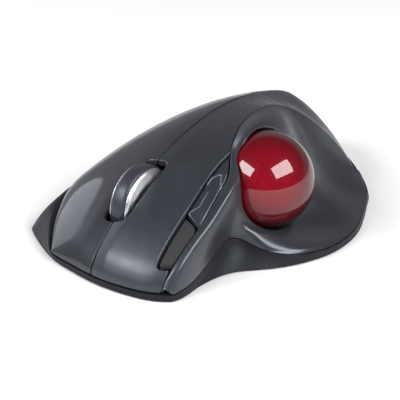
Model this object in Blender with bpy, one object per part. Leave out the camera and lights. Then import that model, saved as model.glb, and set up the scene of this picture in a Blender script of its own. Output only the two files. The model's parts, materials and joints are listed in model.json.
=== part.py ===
"""Wireless thumb trackball mouse, right-handed, built as separate pieces.

Axes: +X to the user's right, +Y towards the buttons, +Z up, origin under the
middle of the bounding box on the table. Design sizes below are millimetres in
a working frame whose X, Y zero is OFFSET away from the part origin.
"""
import math
import bpy
import bmesh
from mathutils import Vector
from mathutils.bvhtree import BVHTree
from mathutils.geometry import delaunay_2d_cdt

for item in list(bpy.data.objects):
    bpy.data.objects.remove(item, do_unlink=True)

# ---------------------------------------------------------------- dimensions
MM = 0.001
OFFSET = Vector((8.35, 3.05, 0.0))
SHELL = 1.8
SEAM_GAP = 0.34
FRONT_GAP = 1.1
SEAM_X = -2.0
HINGE_Y = -33.0
CREST_Z = 38.8
FLOOR_LOW = 0.5
FLOOR_TOP = 2.6
FIN_WIDTH = 1.2
REAR_FIN = 0.9

BALL_RADIUS = 17.0
BALL_CENTRE = Vector((-31.1, 5.6, 22.7))
BALL_FACE = Vector((-0.951, 0.0, 0.310))
RIM_RADIUS = 17.35
CUP_AXIS = Vector((0.8, 0.0, -0.6))
CUP_INNER = 17.6
CUP_OUTER = 19.8
CUP_ANGLE = 62.0
CUP_WINDOW_ANGLE = 13.0
BEARING_RADIUS = 1.0
BEARING_DISTANCE = 18.15
BEARING_ANGLE = 54.0

WHEEL_CENTRE = Vector((-1.6, 37.5, 18.2))
TYRE_RADIUS = 13.5
TYRE_HALF = 2.8
HUB_RADIUS = 9.8
AXLE_RADIUS = 1.0
SLOT_LEFT = -7.1
SLOT_RIGHT = 2.9
SLOT_REAR = 27.8
SLOT_FRONT = 52.8
SLOT_CORNER = 3.0

BOARD_LOW = 6.0
BOARD_TOP = 7.6
BATTERY_CENTRE = Vector((2.0, -17.3, 9.95))
BATTERY_RADIUS = 7.25


# ------------------------------------------------------------------- curves
def spline(points):
    """Natural cubic through (t, value) points; straight beyond the ends."""
    points = sorted(points)
    ts = [p[0] for p in points]
    vs = [p[1] for p in points]
    n = len(ts)
    low = [0.0] * n
    mid = [1.0] * n
    upp = [0.0] * n
    rhs = [0.0] * n
    for i in range(1, n - 1):
        h0 = ts[i] - ts[i - 1]
        h1 = ts[i + 1] - ts[i]
        low[i] = h0
        mid[i] = 2 * (h0 + h1)
        upp[i] = h1
        rhs[i] = 6 * ((vs[i + 1] - vs[i]) / h1 - (vs[i] - vs[i - 1]) / h0)
    for i in range(1, n):
        m = low[i] / mid[i - 1]
        mid[i] -= m * upp[i - 1]
        rhs[i] -= m * rhs[i - 1]
    bend = [0.0] * n
    for i in range(n - 2, 0, -1):
        bend[i] = (rhs[i] - upp[i] * bend[i + 1]) / mid[i]

    def value(t):
        if t <= ts[0]:
            h = ts[1] - ts[0]
            slope = (vs[1] - vs[0]) / h - h * bend[1] / 6
            return vs[0] + slope * (t - ts[0])
        if t >= ts[-1]:
            h = ts[-1] - ts[-2]
            slope = (vs[-1] - vs[-2]) / h + h * bend[-2] / 6
            return vs[-1] + slope * (t - ts[-1])
        i = 0
        while t > ts[i + 1]:
            i += 1
        h = ts[i + 1] - ts[i]
        a = (ts[i + 1] - t) / h
        b = (t - ts[i]) / h
        curve = (a ** 3 - a) * bend[i] + (b ** 3 - b) * bend[i + 1]
        return a * vs[i] + b * vs[i + 1] + curve * h * h / 6
    return value


def vector_spline(points):
    """Cubic curve through a list of vectors, one unit of t per point."""
    parts = [spline([(i, p[k]) for i, p in enumerate(points)]) for k in range(len(points[0]))]
    return lambda t: Vector([part(t) for part in parts])


# front edge of the buttons and rear edge of the palm, in plan
front_edge = spline([(-32, 61.2), (-28, 63.4), (-23.5, 65.1), (-17, 66.1), (-10, 66.4),
                     (-2, 65.6), (7, 63.6), (14.4, 62.0), (18.5, 61.0), (24, 59.5)])


def rear_edge(x):
    return -69.6 + (0.016 if x < 0 else 0.0245) * x * x


# crown height against the square root of the distance from either end
crown_front = spline([(0, 3.7), (1, 7), (1.73, 10.3), (2.65, 14.3), (3.32, 17.5), (4.7, 24.3),
                      (6.08, 30.8), (7.0, 34.7), (7.78, 36.7), (8.6, 38.0), (9.4, 38.65),
                      (10.2, CREST_Z), (12, CREST_Z)])
crown_rear = spline([(0, 4.5), (1.4, 11.6), (2.4, 18.8), (3.3, 25.4), (4.2, 29.9), (5.1, 32.7),
                     (6.0, 35.1), (7.0, 37.4), (8.2, 38.7), (9.4, CREST_Z), (12, CREST_Z)])
# right edge of the top cover in plan, its height, and the fall to the left
right_edge = spline([(70, 12), (61, 18.5), (55, 22.7), (49, 26), (42, 29.3), (35, 31.8),
                     (28, 33.2), (15, 33.9), (0, 34.2), (-20, 33.7), (-40, 31), (-55, 25),
                     (-66, 16), (-75, 6)])
right_height = spline([(70, 3.7), (61, 4.2), (55, 6.5), (49, 9), (42, 10.8), (35, 12),
                       (28, 12.2), (15, 11.5), (0, 10.5), (-20, 9), (-40, 7.5), (-58, 5.2),
                       (-75, 4.5)])
left_fall = spline([(66, 0.5), (30, 0.4), (15, -1.2), (5, -3.0), (-5, -4.0), (-15, -4.2),
                    (-25, -1.6), (-35, 3.4), (-43, 7.8), (-52, 10.0), (-60, 12.0)])


def smooth(t):
    t = min(max(t, 0.0), 1.0)
    return t * t * (3 - 2 * t)


def groove(x, y):
    """Shallow valley along the middle seam, sharper on its left side."""
    depth = 0.5 + 0.8 * smooth((y - 26) / 22)
    depth *= smooth((y + 6) / 18)
    left = max(0.0, 1 - (SEAM_X - x) / 5.0) if x < SEAM_X else 1.0
    right = 1 - smooth((x - SEAM_X) / 8.0) if x > SEAM_X else 1.0
    return depth * left * right


def top_height(x, y):
    """Height of the smooth top cover above the table."""
    ahead = min(math.sqrt(max(front_edge(x) - y, 0.0)), 12)
    behind = min(math.sqrt(max(y - rear_edge(x), 0.0)), 12)
    z = crown_front(ahead) + crown_rear(behind) - CREST_Z
    if x > SEAM_X:
        side = min((x - SEAM_X) / (right_edge(y) - SEAM_X), 1.0)
        z -= (z - right_height(y)) * (1 - math.sqrt(max(1 - side ** 1.27, 0)))
    else:
        z -= left_fall(y) * ((SEAM_X - x) / 20) ** 1.3 * (z - 4.5) / (CREST_Z - 4.5)
    return z - groove(x, y) * min(1.0, ahead / 2)


# Thumb side, front to rear. Each row: top edge in plan, three points down the
# face, the crease above the case skirt, and the foot of the case.
THUMB_ROWS = [
    ((-29.3, 62.2), (-30.9, 62.0, 5.3), (-32.0, 61.5, 4.4), (-32.6, 61.0, 3.7),
     (-32.8, 60.5, 3.0), (-32.8, 60.8)),
    ((-30.9, 57.6), (-32.3, 57.2, 11.0), (-33.4, 56.4, 8.5), (-33.8, 55.4, 6.0),
     (-33.7, 54.5, 3.7), (-33.8, 56.5)),
    ((-31.8, 50.5), (-33.2, 50.0, 16.4), (-34.0, 49.0, 12.5), (-33.8, 47.6, 8.6),
     (-33.4, 46.5, 5.3), (-33.7, 50.0)),
    ((-32.3, 43.0), (-33.9, 42.5, 20.8), (-34.4, 41.0, 16.6), (-33.4, 39.0, 12.0),
     (-32.6, 37.0, 8.3), (-34.2, 43.0)),
    ((-31.8, 35.5), (-33.6, 35.0, 25.0), (-34.3, 33.6, 20.4), (-33.4, 31.4, 15.0),
     (-32.8, 29.5, 10.3), (-35.6, 36.8)),
    ((-31.0, 29.0), (-33.2, 28.7, 28.4), (-34.0, 27.8, 22.5), (-34.6, 26.8, 14.5),
     (-36.4, 25.5, 8.6), (-38.5, 31.5)),
    ((-30.2, 24.4), (-32.4, 24.0, 30.0), (-33.6, 23.6, 22.0), (-36.8, 23.3, 12.0),
     (-42.5, 23.3, 6.3), (-43.5, 26.3)),
    ((-27.2, 19.2), (-30.0, 19.2, 33.0), (-33.0, 19.0, 22.5), (-38.2, 18.8, 10.5),
     (-48.6, 18.8, 4.7), (-49.0, 19.8)),
    ((-23.4, 13.6), (-28.0, 13.2, 38.2), (-32.9, 12.6, 22.5), (-39.3, 12.5, 8.0),
     (-53.2, 12.4, 3.9), (-53.3, 12.0)),
    ((-20.0, 4.8), (-26.8, 5.0, 40.5), (-32.8, 4.0, 22.5), (-40.0, 3.6, 6.8),
     (-56.2, 3.2, 3.3), (-56.4, 3.0)),
    ((-18.6, -5.0), (-26.2, -5.5, 39.6), (-33.0, -6.5, 22.5), (-40.6, -7.3, 7.4),
     (-56.8, -8.0, 3.3), (-57.0, -8.0)),
    ((-19.0, -15.5), (-25.6, -15.8, 36.0), (-32.4, -17.0, 21.0), (-41.0, -19.4, 8.0),
     (-53.8, -21.0, 3.3), (-54.2, -21.0)),
    ((-20.5, -26.8), (-25.0, -27.2, 27.5), (-31.0, -29.0, 15.5), (-38.0, -32.8, 6.8),
     (-47.0, -36.6, 3.3), (-47.4, -36.7)),
    ((-26.5, -38.0), (-29.4, -38.8, 16.0), (-33.2, -40.3, 10.6), (-37.9, -42.8, 6.0),
     (-42.6, -44.8, 3.9), (-43.2, -45.2)),
    ((-35.5, -49.7), (-35.8, -50.0, 7.0), (-36.2, -50.3, 6.1), (-36.6, -50.6, 5.4),
     (-36.9, -50.8, 4.6), (-37.5, -51.5)),
]
# Rest of the case rim, rear to front by the right side: foot in plan, then
# the outer top edge of the rim.
CASE_ROWS = [
    ((-26.0, -62.5), (-25.5, -61.6, 4.5)), ((-13.0, -70.5), (-12.6, -69.4, 4.5)),
    ((2.0, -72.8), (2.0, -71.6, 4.6)), ((18.0, -66.5), (17.0, -65.5, 4.8)),
    ((28.0, -55.0), (27.0, -55.0, 5.6)), ((33.8, -40.0), (33.0, -40.0, 7.5)),
    ((36.4, -20.0), (35.6, -20.0, 9.0)), ((36.6, 0.0), (36.1, 0.0, 10.5)),
    ((36.0, 18.0), (35.7, 18.0, 11.5)), ((36.5, 30.0), (35.0, 28.5, 12.0)),
    ((39.3, 38.0), (33.4, 36.0, 11.6)), ((40.3, 43.8), (31.4, 42.0, 10.6)),
    ((38.6, 47.2), (29.0, 47.0, 9.4)), ((33.2, 51.4), (26.2, 52.2, 7.8)),
    ((26.3, 56.0), (22.5, 57.4, 5.4)), ((18.0, 60.6), (18.4, 60.9, 2.9)),
    ((10.0, 63.2), (10.0, 63.0, 2.6)), ((0.5, 65.5), (0.5, 65.3, 2.6)),
    ((-9.0, 66.7), (-9.0, 66.5, 2.6)), ((-18.0, 66.5), (-18.0, 66.3, 2.6)),
    ((-25.5, 65.3), (-25.6, 65.0, 2.6)), ((-30.5, 63.0), (-30.4, 62.6, 2.6)),
]
# (rows from the thumb side use the crease lowered by one seam gap)


def thumb_edge(t):
    """Plan position of the thumb panel's top edge, t in rows."""
    p = THUMB_EDGE(t)
    return Vector((p.x, p.y))


THUMB_EDGE = vector_spline([row[0] for row in THUMB_ROWS])
THUMB_COLUMNS = [vector_spline([row[k] for row in THUMB_ROWS]) for k in (1, 2, 3, 4)]


def thumb_point(t, v):
    """Point on the thumb panel, t along the rows, v from top edge to crease."""
    edge = thumb_edge(t)
    first = Vector((edge.x, edge.y, max(top_height(edge.x, edge.y), 4.8)))
    column = [first] + [c(t) for c in THUMB_COLUMNS]
    knots = [0.0]
    for a, b in zip(column, column[1:]):
        knots.append(knots[-1] + math.sqrt((b - a).length))
    u = v * knots[-1]
    return Vector([spline([(k, p[i]) for k, p in zip(knots, column)])(u) for i in range(3)])


# ------------------------------------------------------------ mesh helpers
def material(name, colour, rough, metal=0.0):
    found = bpy.data.materials.get(name)
    if found:
        return found
    mat = bpy.data.materials.new(name)
    mat.use_nodes = True
    shader = mat.node_tree.nodes["Principled BSDF"]
    shader.inputs["Base Color"].default_value = (*colour, 1.0)
    shader.inputs["Roughness"].default_value = rough
    shader.inputs["Metallic"].default_value = metal
    mat.diffuse_color = (*colour, 1.0)
    return mat


def place(point):
    return (Vector(point) + OFFSET) * MM


def add(name, verts, faces, look, angle=40.0, pivot=(0.0, 0.0, 0.0)):
    """Make an object from millimetre points, origin at pivot."""
    base = place(pivot) if pivot != (0.0, 0.0, 0.0) else Vector((0.0, 0.0, 0.0))
    mesh = bpy.data.meshes.new(name)
    mesh.from_pydata([place(v) - base for v in verts], [], faces)
    shape = bmesh.new()
    shape.from_mesh(mesh)
    bmesh.ops.remove_doubles(shape, verts=shape.verts, dist=1e-7)
    bmesh.ops.recalc_face_normals(shape, faces=shape.faces)
    shape.to_mesh(mesh)
    shape.free()
    mesh.shade_smooth()
    mesh.set_sharp_from_angle(angle=math.radians(angle))
    obj = bpy.data.objects.new(name, mesh)
    obj.location = base
    bpy.context.scene.collection.objects.link(obj)
    if look is not None:
        obj.data.materials.append(look)
    return obj


def revolve(profile, centre, axis, count):
    """Closed (radius, height) profile turned about an axis; returns verts, faces."""
    axis = Vector(axis).normalized()
    side = axis.orthogonal().normalized()
    other = axis.cross(side)
    verts = []
    rings = []
    faces = []
    closed = profile[0][0] > 1e-6
    flat_low = not closed and abs(profile[0][1] - profile[1][1]) < 1e-6
    flat_high = not closed and abs(profile[-1][1] - profile[-2][1]) < 1e-6
    profile = profile[1 if flat_low else 0:len(profile) - (1 if flat_high else 0)]
    for radius, height in profile:
        base = Vector(centre) + axis * height
        if radius < 1e-6:
            rings.append([len(verts)] * count)
            verts.append(base)
            continue
        ring = []
        for i in range(count):
            a = 2 * math.pi * i / count
            ring.append(len(verts))
            verts.append(base + (side * math.cos(a) + other * math.sin(a)) * radius)
        rings.append(ring)
    if flat_low:
        faces.append(rings[0][::-1])
    if flat_high:
        faces.append(rings[-1])
    pairs = list(zip(rings, rings[1:]))
    if closed:
        pairs.append((rings[-1], rings[0]))
    for first, second in pairs:
        for i in range(count):
            j = (i + 1) % count
            face = []
            for index in (first[i], first[j], second[j], second[i]):
                if index not in face:
                    face.append(index)
            if len(face) > 2:
                faces.append(face)
    return verts, faces


def prism(loop, low, high):
    """Upright prism over a plan loop."""
    n = len(loop)
    verts = [(p[0], p[1], low) for p in loop] + [(p[0], p[1], high) for p in loop]
    faces = [list(range(n))[::-1], list(range(n, 2 * n))]
    for i in range(n):
        j = (i + 1) % n
        faces.append([i, j, n + j, n + i])
    return verts, faces


def box(x0, x1, y0, y1, z0, z1):
    return prism([(x0, y0), (x1, y0), (x1, y1), (x0, y1)], z0, z1)


def tilted_box(centre, across, along, up, half):
    """Box with its own three axes and half sizes."""
    verts = []
    for k in (-1, 1):
        for i, j in ((-1, -1), (1, -1), (1, 1), (-1, 1)):
            verts.append(Vector(centre) + across * (half[0] * i) + along * (half[1] * j)
                         + up * (half[2] * k))
    faces = [[3, 2, 1, 0], [4, 5, 6, 7], [0, 1, 5, 4], [1, 2, 6, 5], [2, 3, 7, 6], [3, 0, 4, 7]]
    return verts, faces


def circle(x, y, radius, count):
    step = 2 * math.pi / count
    return [(x + radius * math.cos(i * step), y + radius * math.sin(i * step))
            for i in range(count)]


def rounded(x0, x1, y0, y1, radius, count=4):
    """Rectangle with rounded corners, counter-clockwise."""
    loop = []
    corners = ((x1 - radius, y1 - radius, 0), (x0 + radius, y1 - radius, 90),
               (x0 + radius, y0 + radius, 180), (x1 - radius, y0 + radius, 270))
    for cx, cy, start in corners:
        for i in range(count + 1):
            a = math.radians(start + 90 * i / count)
            loop.append((cx + radius * math.cos(a), cy + radius * math.sin(a)))
    return loop


def combine(obj, shape, operation):
    """Join or cut obj with a helper solid."""
    helper = add("helper_" + operation.lower(), shape[0], shape[1], None)
    helper.hide_render = True
    helper.display_type = "WIRE"
    step = obj.modifiers.new(operation.title(), "BOOLEAN")
    step.operation = operation
    step.solver = "EXACT"
    step.object = helper
    return helper


def inside(loop, x, y):
    hit = False
    n = len(loop)
    for i in range(n):
        x0, y0 = loop[i]
        x1, y1 = loop[(i + 1) % n]
        if (y0 > y) != (y1 > y):
            if x < x0 + (y - y0) * (x1 - x0) / (y1 - y0):
                hit = not hit
    return hit


def clearance(loop, x, y):
    best = 1e9
    n = len(loop)
    for i in range(n):
        x0, y0 = loop[i]
        dx = loop[(i + 1) % n][0] - x0
        dy = loop[(i + 1) % n][1] - y0
        s = ((x - x0) * dx + (y - y0) * dy) / max(dx * dx + dy * dy, 1e-12)
        s = min(max(s, 0.0), 1.0)
        best = min(best, math.hypot(x - x0 - s * dx, y - y0 - s * dy))
    return best


def resample(loop, step):
    """Split long sides of a closed loop so none is longer than step."""
    out = []
    n = len(loop)
    for i in range(n):
        a = Vector(loop[i][:2])
        b = Vector(loop[(i + 1) % n][:2])
        parts = max(1, math.ceil((b - a).length / step))
        for k in range(parts):
            out.append(tuple(a.lerp(b, k / parts)))
    return out


def offset_loop(loop, amount):
    """Move a counter-clockwise loop inward by amount, vertex by vertex."""
    out = []
    n = len(loop)
    for i in range(n):
        before = Vector(loop[i - 1])
        here = Vector(loop[i])
        after = Vector(loop[(i + 1) % n])
        d0 = (here - before).normalized()
        d1 = (after - here).normalized()
        normal = Vector((-d0.y - d1.y, d0.x + d1.x))
        size = max(normal.length_squared / 2, 0.3)
        out.append(tuple(here + normal / size * amount))
    return out


def surface_normal(height, x, y):
    d = 0.05
    gx = (height(x + d, y) - height(x - d, y)) / (2 * d)
    gy = (height(x, y + d) - height(x, y - d)) / (2 * d)
    return Vector((-gx, -gy, 1.0)).normalized()


def plate(loop, height, step, thick, rings, lip=None):
    """Shell over a plan loop: outer skin follows height(x, y); walls are upright,
    except where lip(x, y) asks for a level lower edge."""
    loop = resample(loop, step)
    points = list(loop)
    n = len(loop)
    for distance in rings:
        for x, y in offset_loop(loop, distance):
            if inside(loop, x, y) and clearance(loop, x, y) > 0.9 * distance:
                if all(math.hypot(x - p[0], y - p[1]) > 0.6 * distance for p in points[n:]):
                    points.append((x, y))
    margin = (rings[-1] if rings else 0) + 0.45 * step
    xs = [p[0] for p in loop]
    ys = [p[1] for p in loop]
    rows = int((max(ys) - min(ys)) / (step * 0.87)) + 1
    for r in range(rows):
        y = min(ys) + (r + 0.5) * step * 0.87
        for c in range(int((max(xs) - min(xs)) / step) + 2):
            x = min(xs) + (c + 0.5 * (r % 2)) * step
            if inside(loop, x, y) and clearance(loop, x, y) > margin:
                points.append((x, y))
    edges = [(i, (i + 1) % n) for i in range(n)]
    flat = [Vector(p) for p in points]
    verts2, _, tris, _, _, _ = delaunay_2d_cdt(flat, edges, [list(range(n))], 1, 1e-6)
    border = {}
    for i, p in enumerate(loop):
        border[(round(p[0], 4), round(p[1], 4))] = i
    outer = []
    inner = []
    for v in verts2:
        x, y = v.x, v.y
        z = height(x, y)
        outer.append(Vector((x, y, z)))
        key = (round(x, 4), round(y, 4))
        i = border.get(key)
        if i is None:
            inner.append(Vector((x, y, z)) - surface_normal(height, x, y) * thick)
            continue
        if lip is not None and lip(x, y):
            before = Vector(loop[i - 1])
            after = Vector(loop[(i + 1) % n])
            d = (after - before).normalized()
            inner.append(Vector((x - d.y * thick, y + d.x * thick, z + 0.1)))
        else:
            q = Vector((x, y))
            d = (Vector(loop[(i + 1) % n]) - Vector(loop[i - 1])).normalized()
            q += Vector((-d.y, d.x)) * 0.6
            slope = surface_normal(height, q.x, q.y).z
            drop = thick * min(1 / max(slope, 0.1), 1.5)
            inner.append(Vector((x, y, max(z - drop, FLOOR_TOP + 0.6))))
    m = len(outer)
    verts = outer + inner
    faces = [list(t) for t in tris] + [[m + k for k in reversed(t)] for t in tris]
    count = {}
    for t in tris:
        for a, b in zip(t, list(t[1:]) + [t[0]]):
            count[(a, b)] = count.get((a, b), 0) + 1
    for (a, b) in list(count):
        if (b, a) not in count:
            faces.append([b, a, m + a, m + b])
    return verts, faces


# ---------------------------------------------------------------- materials
SATIN = material("satin_charcoal", (0.035, 0.037, 0.042), 0.32)
SKIRT = material("case_black", (0.016, 0.017, 0.019), 0.45)
MATT = material("matt_black", (0.02, 0.021, 0.023), 0.6)
RUBBER = material("wheel_rubber", (0.014, 0.014, 0.017), 0.55)
CHROME = material("bright_ring", (0.78, 0.79, 0.8), 0.18, 1.0)
STEEL = material("steel", (0.55, 0.55, 0.56), 0.3, 1.0)
CRIMSON = material("crimson_ball", (0.42, 0.004, 0.02), 0.06)
INNER = material("inner_plastic", (0.06, 0.062, 0.066), 0.5)
GREEN = material("circuit_board", (0.012, 0.09, 0.035), 0.4)
CERAMIC = material("bearing_ceramic", (0.85, 0.85, 0.82), 0.15)
LENS = material("sensor_lens", (0.7, 0.75, 0.78), 0.05)
FOOT = material("foot_pad", (0.03, 0.03, 0.032), 0.35)
CELL = material("cell_sleeve", (0.18, 0.19, 0.21), 0.3)
WHITE = material("switch_white", (0.7, 0.7, 0.68), 0.4)

# ------------------------------------------------------------ outer shells
def slot_side(side, step=3):
    """Half of the wheel slot, from its front end to its rear end."""
    x = SLOT_LEFT if side < 0 else SLOT_RIGHT
    r = SLOT_CORNER
    seam = SEAM_X + side * SEAM_GAP / 2
    out = [(seam, SLOT_FRONT)]
    for i in range(step + 1):
        a = math.radians(90 * i / step)
        out.append((x - side * r * (1 - math.sin(a)), SLOT_FRONT - r * (1 - math.cos(a))))
    for i in range(step + 1):
        a = math.radians(90 * i / step)
        out.append((x - side * r * (1 - math.cos(a)), SLOT_REAR + r * (1 - math.sin(a))))
    out.append((seam, SLOT_REAR))
    return out


def fin_width(t):
    """Width of the upstanding fin that borders the side button recess."""
    ahead = FIN_WIDTH * smooth(t / 1.1) * smooth((8.6 - t) / 2.0)
    return ahead + REAR_FIN * smooth((t - 11.6) / 1.4)


def edge_offset(t, gap):
    """Thumb panel edge moved to the right (towards the buttons) by gap."""
    here = thumb_edge(t)
    d = (thumb_edge(t + 0.02) - thumb_edge(t - 0.02)).normalized()
    return (here.x - d.y * gap, here.y + d.x * gap)


def edge_run(t0, t1, gap, count):
    """Stretch of the panel edge with the fin and a gap left clear."""
    out = []
    for i in range(count + 1):
        t = t0 + (t1 - t0) * i / count
        out.append(edge_offset(t, fin_width(t) + gap))
    return out


def row_at_y(y):
    """Row value where the thumb edge passes a given y on its rear half."""
    low, high = 5.0, 14.0
    for _ in range(40):
        mid = (low + high) / 2
        if thumb_edge(mid).y > y:
            low = mid
        else:
            high = mid
    return (low + high) / 2


# recess for the side buttons, along the left edge of the left button
recess = vector_spline([(-25.0, 59.4), (-24.9, 52.5), (-24.8, 44.5), (-24.2, 36.0),
                        (-23.6, 28.0), (-23.7, 22.0)])
TIP_ROW = 7.55
RECESS_FRONT = [(-28.6, 60.0), (-26.4, 60.9), (-25.3, 60.6)]


def left_outline():
    loop = [(SEAM_X - SEAM_GAP / 2, HINGE_Y + 0.15)]
    loop += slot_side(-1)[::-1]
    seam = SEAM_X - SEAM_GAP / 2
    loop.append((seam, front_edge(seam)))
    for i in range(1, 10):
        x = seam + (-28.75 - seam) * i / 9
        loop.append((x, front_edge(x)))
    loop += edge_run(0.35, 0.6, SEAM_GAP, 1)
    loop += RECESS_FRONT
    loop += [tuple(recess(5 * i / 7)) for i in range(8)]
    loop += edge_run(TIP_ROW, row_at_y(HINGE_Y + 0.15), SEAM_GAP, 9)
    return loop


def right_outline():
    loop = [(SEAM_X + SEAM_GAP / 2, HINGE_Y + 0.15)]
    for i in range(15):
        y = HINGE_Y + 0.15 + (61.0 - HINGE_Y - 0.15) * i / 14
        loop.append((right_edge(y), y))
    seam = SEAM_X + SEAM_GAP / 2
    for i in range(1, 7):
        x = 18.5 + (seam - 18.5) * i / 6
        loop.append((x, front_edge(x)))
    loop += slot_side(1)
    return loop


def palm_outline():
    y = HINGE_Y - 0.2
    loop = edge_run(row_at_y(y), 13.75, SEAM_GAP, 5)
    loop += [(x, rear_edge(x)) for x in (-31, -24, -18, -12, -6, 0, 5, 10, 15, 20)]
    for q in (-56.5, -50, -44, -38, y):
        loop.append((right_edge(q), q))
    return loop


def front_lip(x, y):
    return y > front_edge(x) - 0.01 and x > -28.9


def post(x, y, radius, low, height, sink, count=8):
    """Round peg under a shell; its head follows the skin, sunk by sink."""
    ring = circle(x, y, radius, count)
    verts = [(px, py, low) for px, py in ring]
    verts += [(px, py, height(px, py) - sink) for px, py in ring]
    verts.append((x, y, height(x, y) - sink))
    faces = [list(range(count))[::-1]]
    for i in range(count):
        j = (i + 1) % count
        faces.append([i, j, count + j, count + i])
        faces.append([count + i, count + j, 2 * count])
    return verts, faces


SHELL_STEP = 6.5
SWITCH_LEFT = (-17.0, 43.0)
SWITCH_RIGHT = (9.2, 39.5)
SWITCH_TOP = 14.3
PLUNGER_TOP = 15.2
HINGE_POINT = (SEAM_X, HINGE_Y, 39.0)

shape = plate(left_outline(), top_height, SHELL_STEP, SHELL, [1.4], front_lip)
left_button = add("left_button", shape[0], shape[1], SATIN, 35, HINGE_POINT)
combine(left_button, post(*SWITCH_LEFT, 1.3, PLUNGER_TOP + 0.2, top_height, 1.0), "UNION")

shape = plate(right_outline(), top_height, SHELL_STEP, SHELL, [1.4], front_lip)
right_button = add("right_button", shape[0], shape[1], SATIN, 35, HINGE_POINT)
combine(right_button, post(*SWITCH_RIGHT, 1.3, PLUNGER_TOP + 0.2, top_height, 1.0), "UNION")

shape = plate(palm_outline(), top_height, SHELL_STEP, SHELL, [1.4], None)
palm_cover = add("palm_cover", shape[0], shape[1], SATIN, 35)


# side buttons lie in the recess between the left button and the thumb panel
def side_height(x, y):
    dip = 0.75 if y > 43.6 else 0.05
    return top_height(x, y) - dip


def side_outline(front):
    if front:
        loop = [(-25.9, 60.0)]
        loop += [tuple(recess(t) + Vector((-0.62, 0.0))) for t in (0.15, 1.0, 1.7, 2.02)]
        loop += [(-30.0, 45.5)]
        loop += edge_run(2.45, 0.95, 0.42, 4)
        return loop
    loop = [tuple(recess(t) + Vector((-0.62, 0.0))) for t in (2.15, 3.0, 4.0, 4.6, 5.0)]
    loop += edge_run(7.3, 2.85, 0.42, 7)
    return loop


def oriented(loop):
    area = sum(a[0] * b[1] - b[0] * a[1] for a, b in zip(loop, loop[1:] + loop[:1]))
    return loop if area > 0 else loop[::-1]


SIDE_FRONT_STEM = (-27.6, 51.0)
SIDE_REAR_STEM = (-27.3, 33.5)
TACT_TOP = 10.6
TACT_PLUNGER = 11.3
for name, front, stem in (("side_button_front", True, SIDE_FRONT_STEM),
                          ("side_button_rear", False, SIDE_REAR_STEM)):
    shape = plate(oriented(side_outline(front)), side_height, 3.6, 1.5, [], None)
    centre = (stem[0], stem[1], side_height(*stem))
    button = add(name, shape[0], shape[1], MATT if front else SATIN, 35, centre)
    combine(button, post(*stem, 0.9, TACT_PLUNGER + 0.2, side_height, 0.8), "UNION")


# thumb panel: lofted face round the ball, top edge shared with the buttons
def rim_side(t):
    """Level direction pointing out of the panel, square to its top edge."""
    d = (thumb_edge(t + 0.02) - thumb_edge(t - 0.02)).normalized()
    return Vector((d.y, -d.x, 0.0))


def panel_shape(count_t, count_v, wall):
    rows = len(THUMB_ROWS) - 1
    outer = []
    inner = []
    for i in range(count_t + 1):
        t = rows * i / count_t
        thick = wall - 0.9 * smooth((t - 12.6) / 1.4)
        for j in range(count_v + 1):
            v = j / count_v
            p = thumb_point(t, v)
            dt = thumb_point(t + 0.03, v) - thumb_point(t - 0.03, v)
            dv = thumb_point(t, v + 0.01) - thumb_point(t, v - 0.01)
            normal = dv.cross(dt).normalized()
            normal = normal.lerp(rim_side(t), smooth((t - 12.6) / 1.0)).normalized()
            if j == count_v:
                normal = Vector((normal.x, normal.y, 0)).normalized()
            outer.append(p)
            if j > 0:
                q = p - normal * thick
                q.z = max(q.z, THUMB_COLUMNS[3](t).z)
                inner.append(q)
                continue
            edge = edge_offset(t, fin_width(t))
            drop = 1.25 * thick * smooth((t - 5.6) / 1.6) * smooth((13.6 - t) / 1.0)
            inner.append(Vector((edge[0], edge[1], p.z - drop - 0.1)))
    return outer, inner


def panel_faces(count_t, count_v, m):
    def at(i, j):
        return i * (count_v + 1) + j
    faces = []
    for i in range(count_t):
        for j in range(count_v):
            quad = [at(i, j), at(i + 1, j), at(i + 1, j + 1), at(i, j + 1)]
            faces.append(quad)
            faces.append([m + k for k in reversed(quad)])
    for i in range(count_t):
        for j in (0, count_v):
            a, b = at(i, j), at(i + 1, j)
            faces.append([a, b, m + b, m + a])
    for j in range(count_v):
        for i in (0, count_t):
            a, b = at(i, j), at(i, j + 1)
            faces.append([a, b, m + b, m + a])
    return faces


PANEL_ROWS = 30
PANEL_COLUMNS = 9
outer, inner = panel_shape(PANEL_ROWS, PANEL_COLUMNS, 1.5)
panel_skin = panel_faces(PANEL_ROWS, PANEL_COLUMNS, len(outer))
thumb_panel = add("thumb_panel", outer + inner, panel_skin, SATIN, 35)
panel_tree = BVHTree.FromPolygons(outer + inner, panel_skin)


def panel_height(x, y):
    """Height of the thumb panel's outer skin above a plan point."""
    return panel_tree.ray_cast(Vector((x, y, 80.0)), Vector((0, 0, -1)))[0].z



def ball_room(radius, count):
    """Half profile of the space kept clear round the ball, pole to equator."""
    out = [(0, -radius)]
    for i in range(1, count + 1):
        a = math.pi / 2 * i / count
        out.append((radius * math.sin(a), -radius * math.cos(a)))
    return out


opening = ball_room(RIM_RADIUS, 8) + [(RIM_RADIUS, 1.6), (RIM_RADIUS + 3.5, 6.5), (0, 6.5)]
combine(thumb_panel, revolve(opening, BALL_CENTRE, BALL_FACE, 40), "DIFFERENCE")
whole = ball_room(RIM_RADIUS, 8)
whole += [(r, -h) for r, h in whole[-2::-1]]
combine(left_button, revolve(whole, BALL_CENTRE, BALL_FACE, 40), "DIFFERENCE")


# --------------------------------------------------------------- bottom case
RIM_WIDTH = 1.5


def case_rows():
    rows = []
    for row in THUMB_ROWS:
        crease = row[4]
        rows.append((row[5], (crease[0], crease[1], crease[2] - SEAM_GAP)))
    return rows + CASE_ROWS


CASE_COUNT = len(THUMB_ROWS) + len(CASE_ROWS)
WING_ROW = len(THUMB_ROWS) + 11


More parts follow.
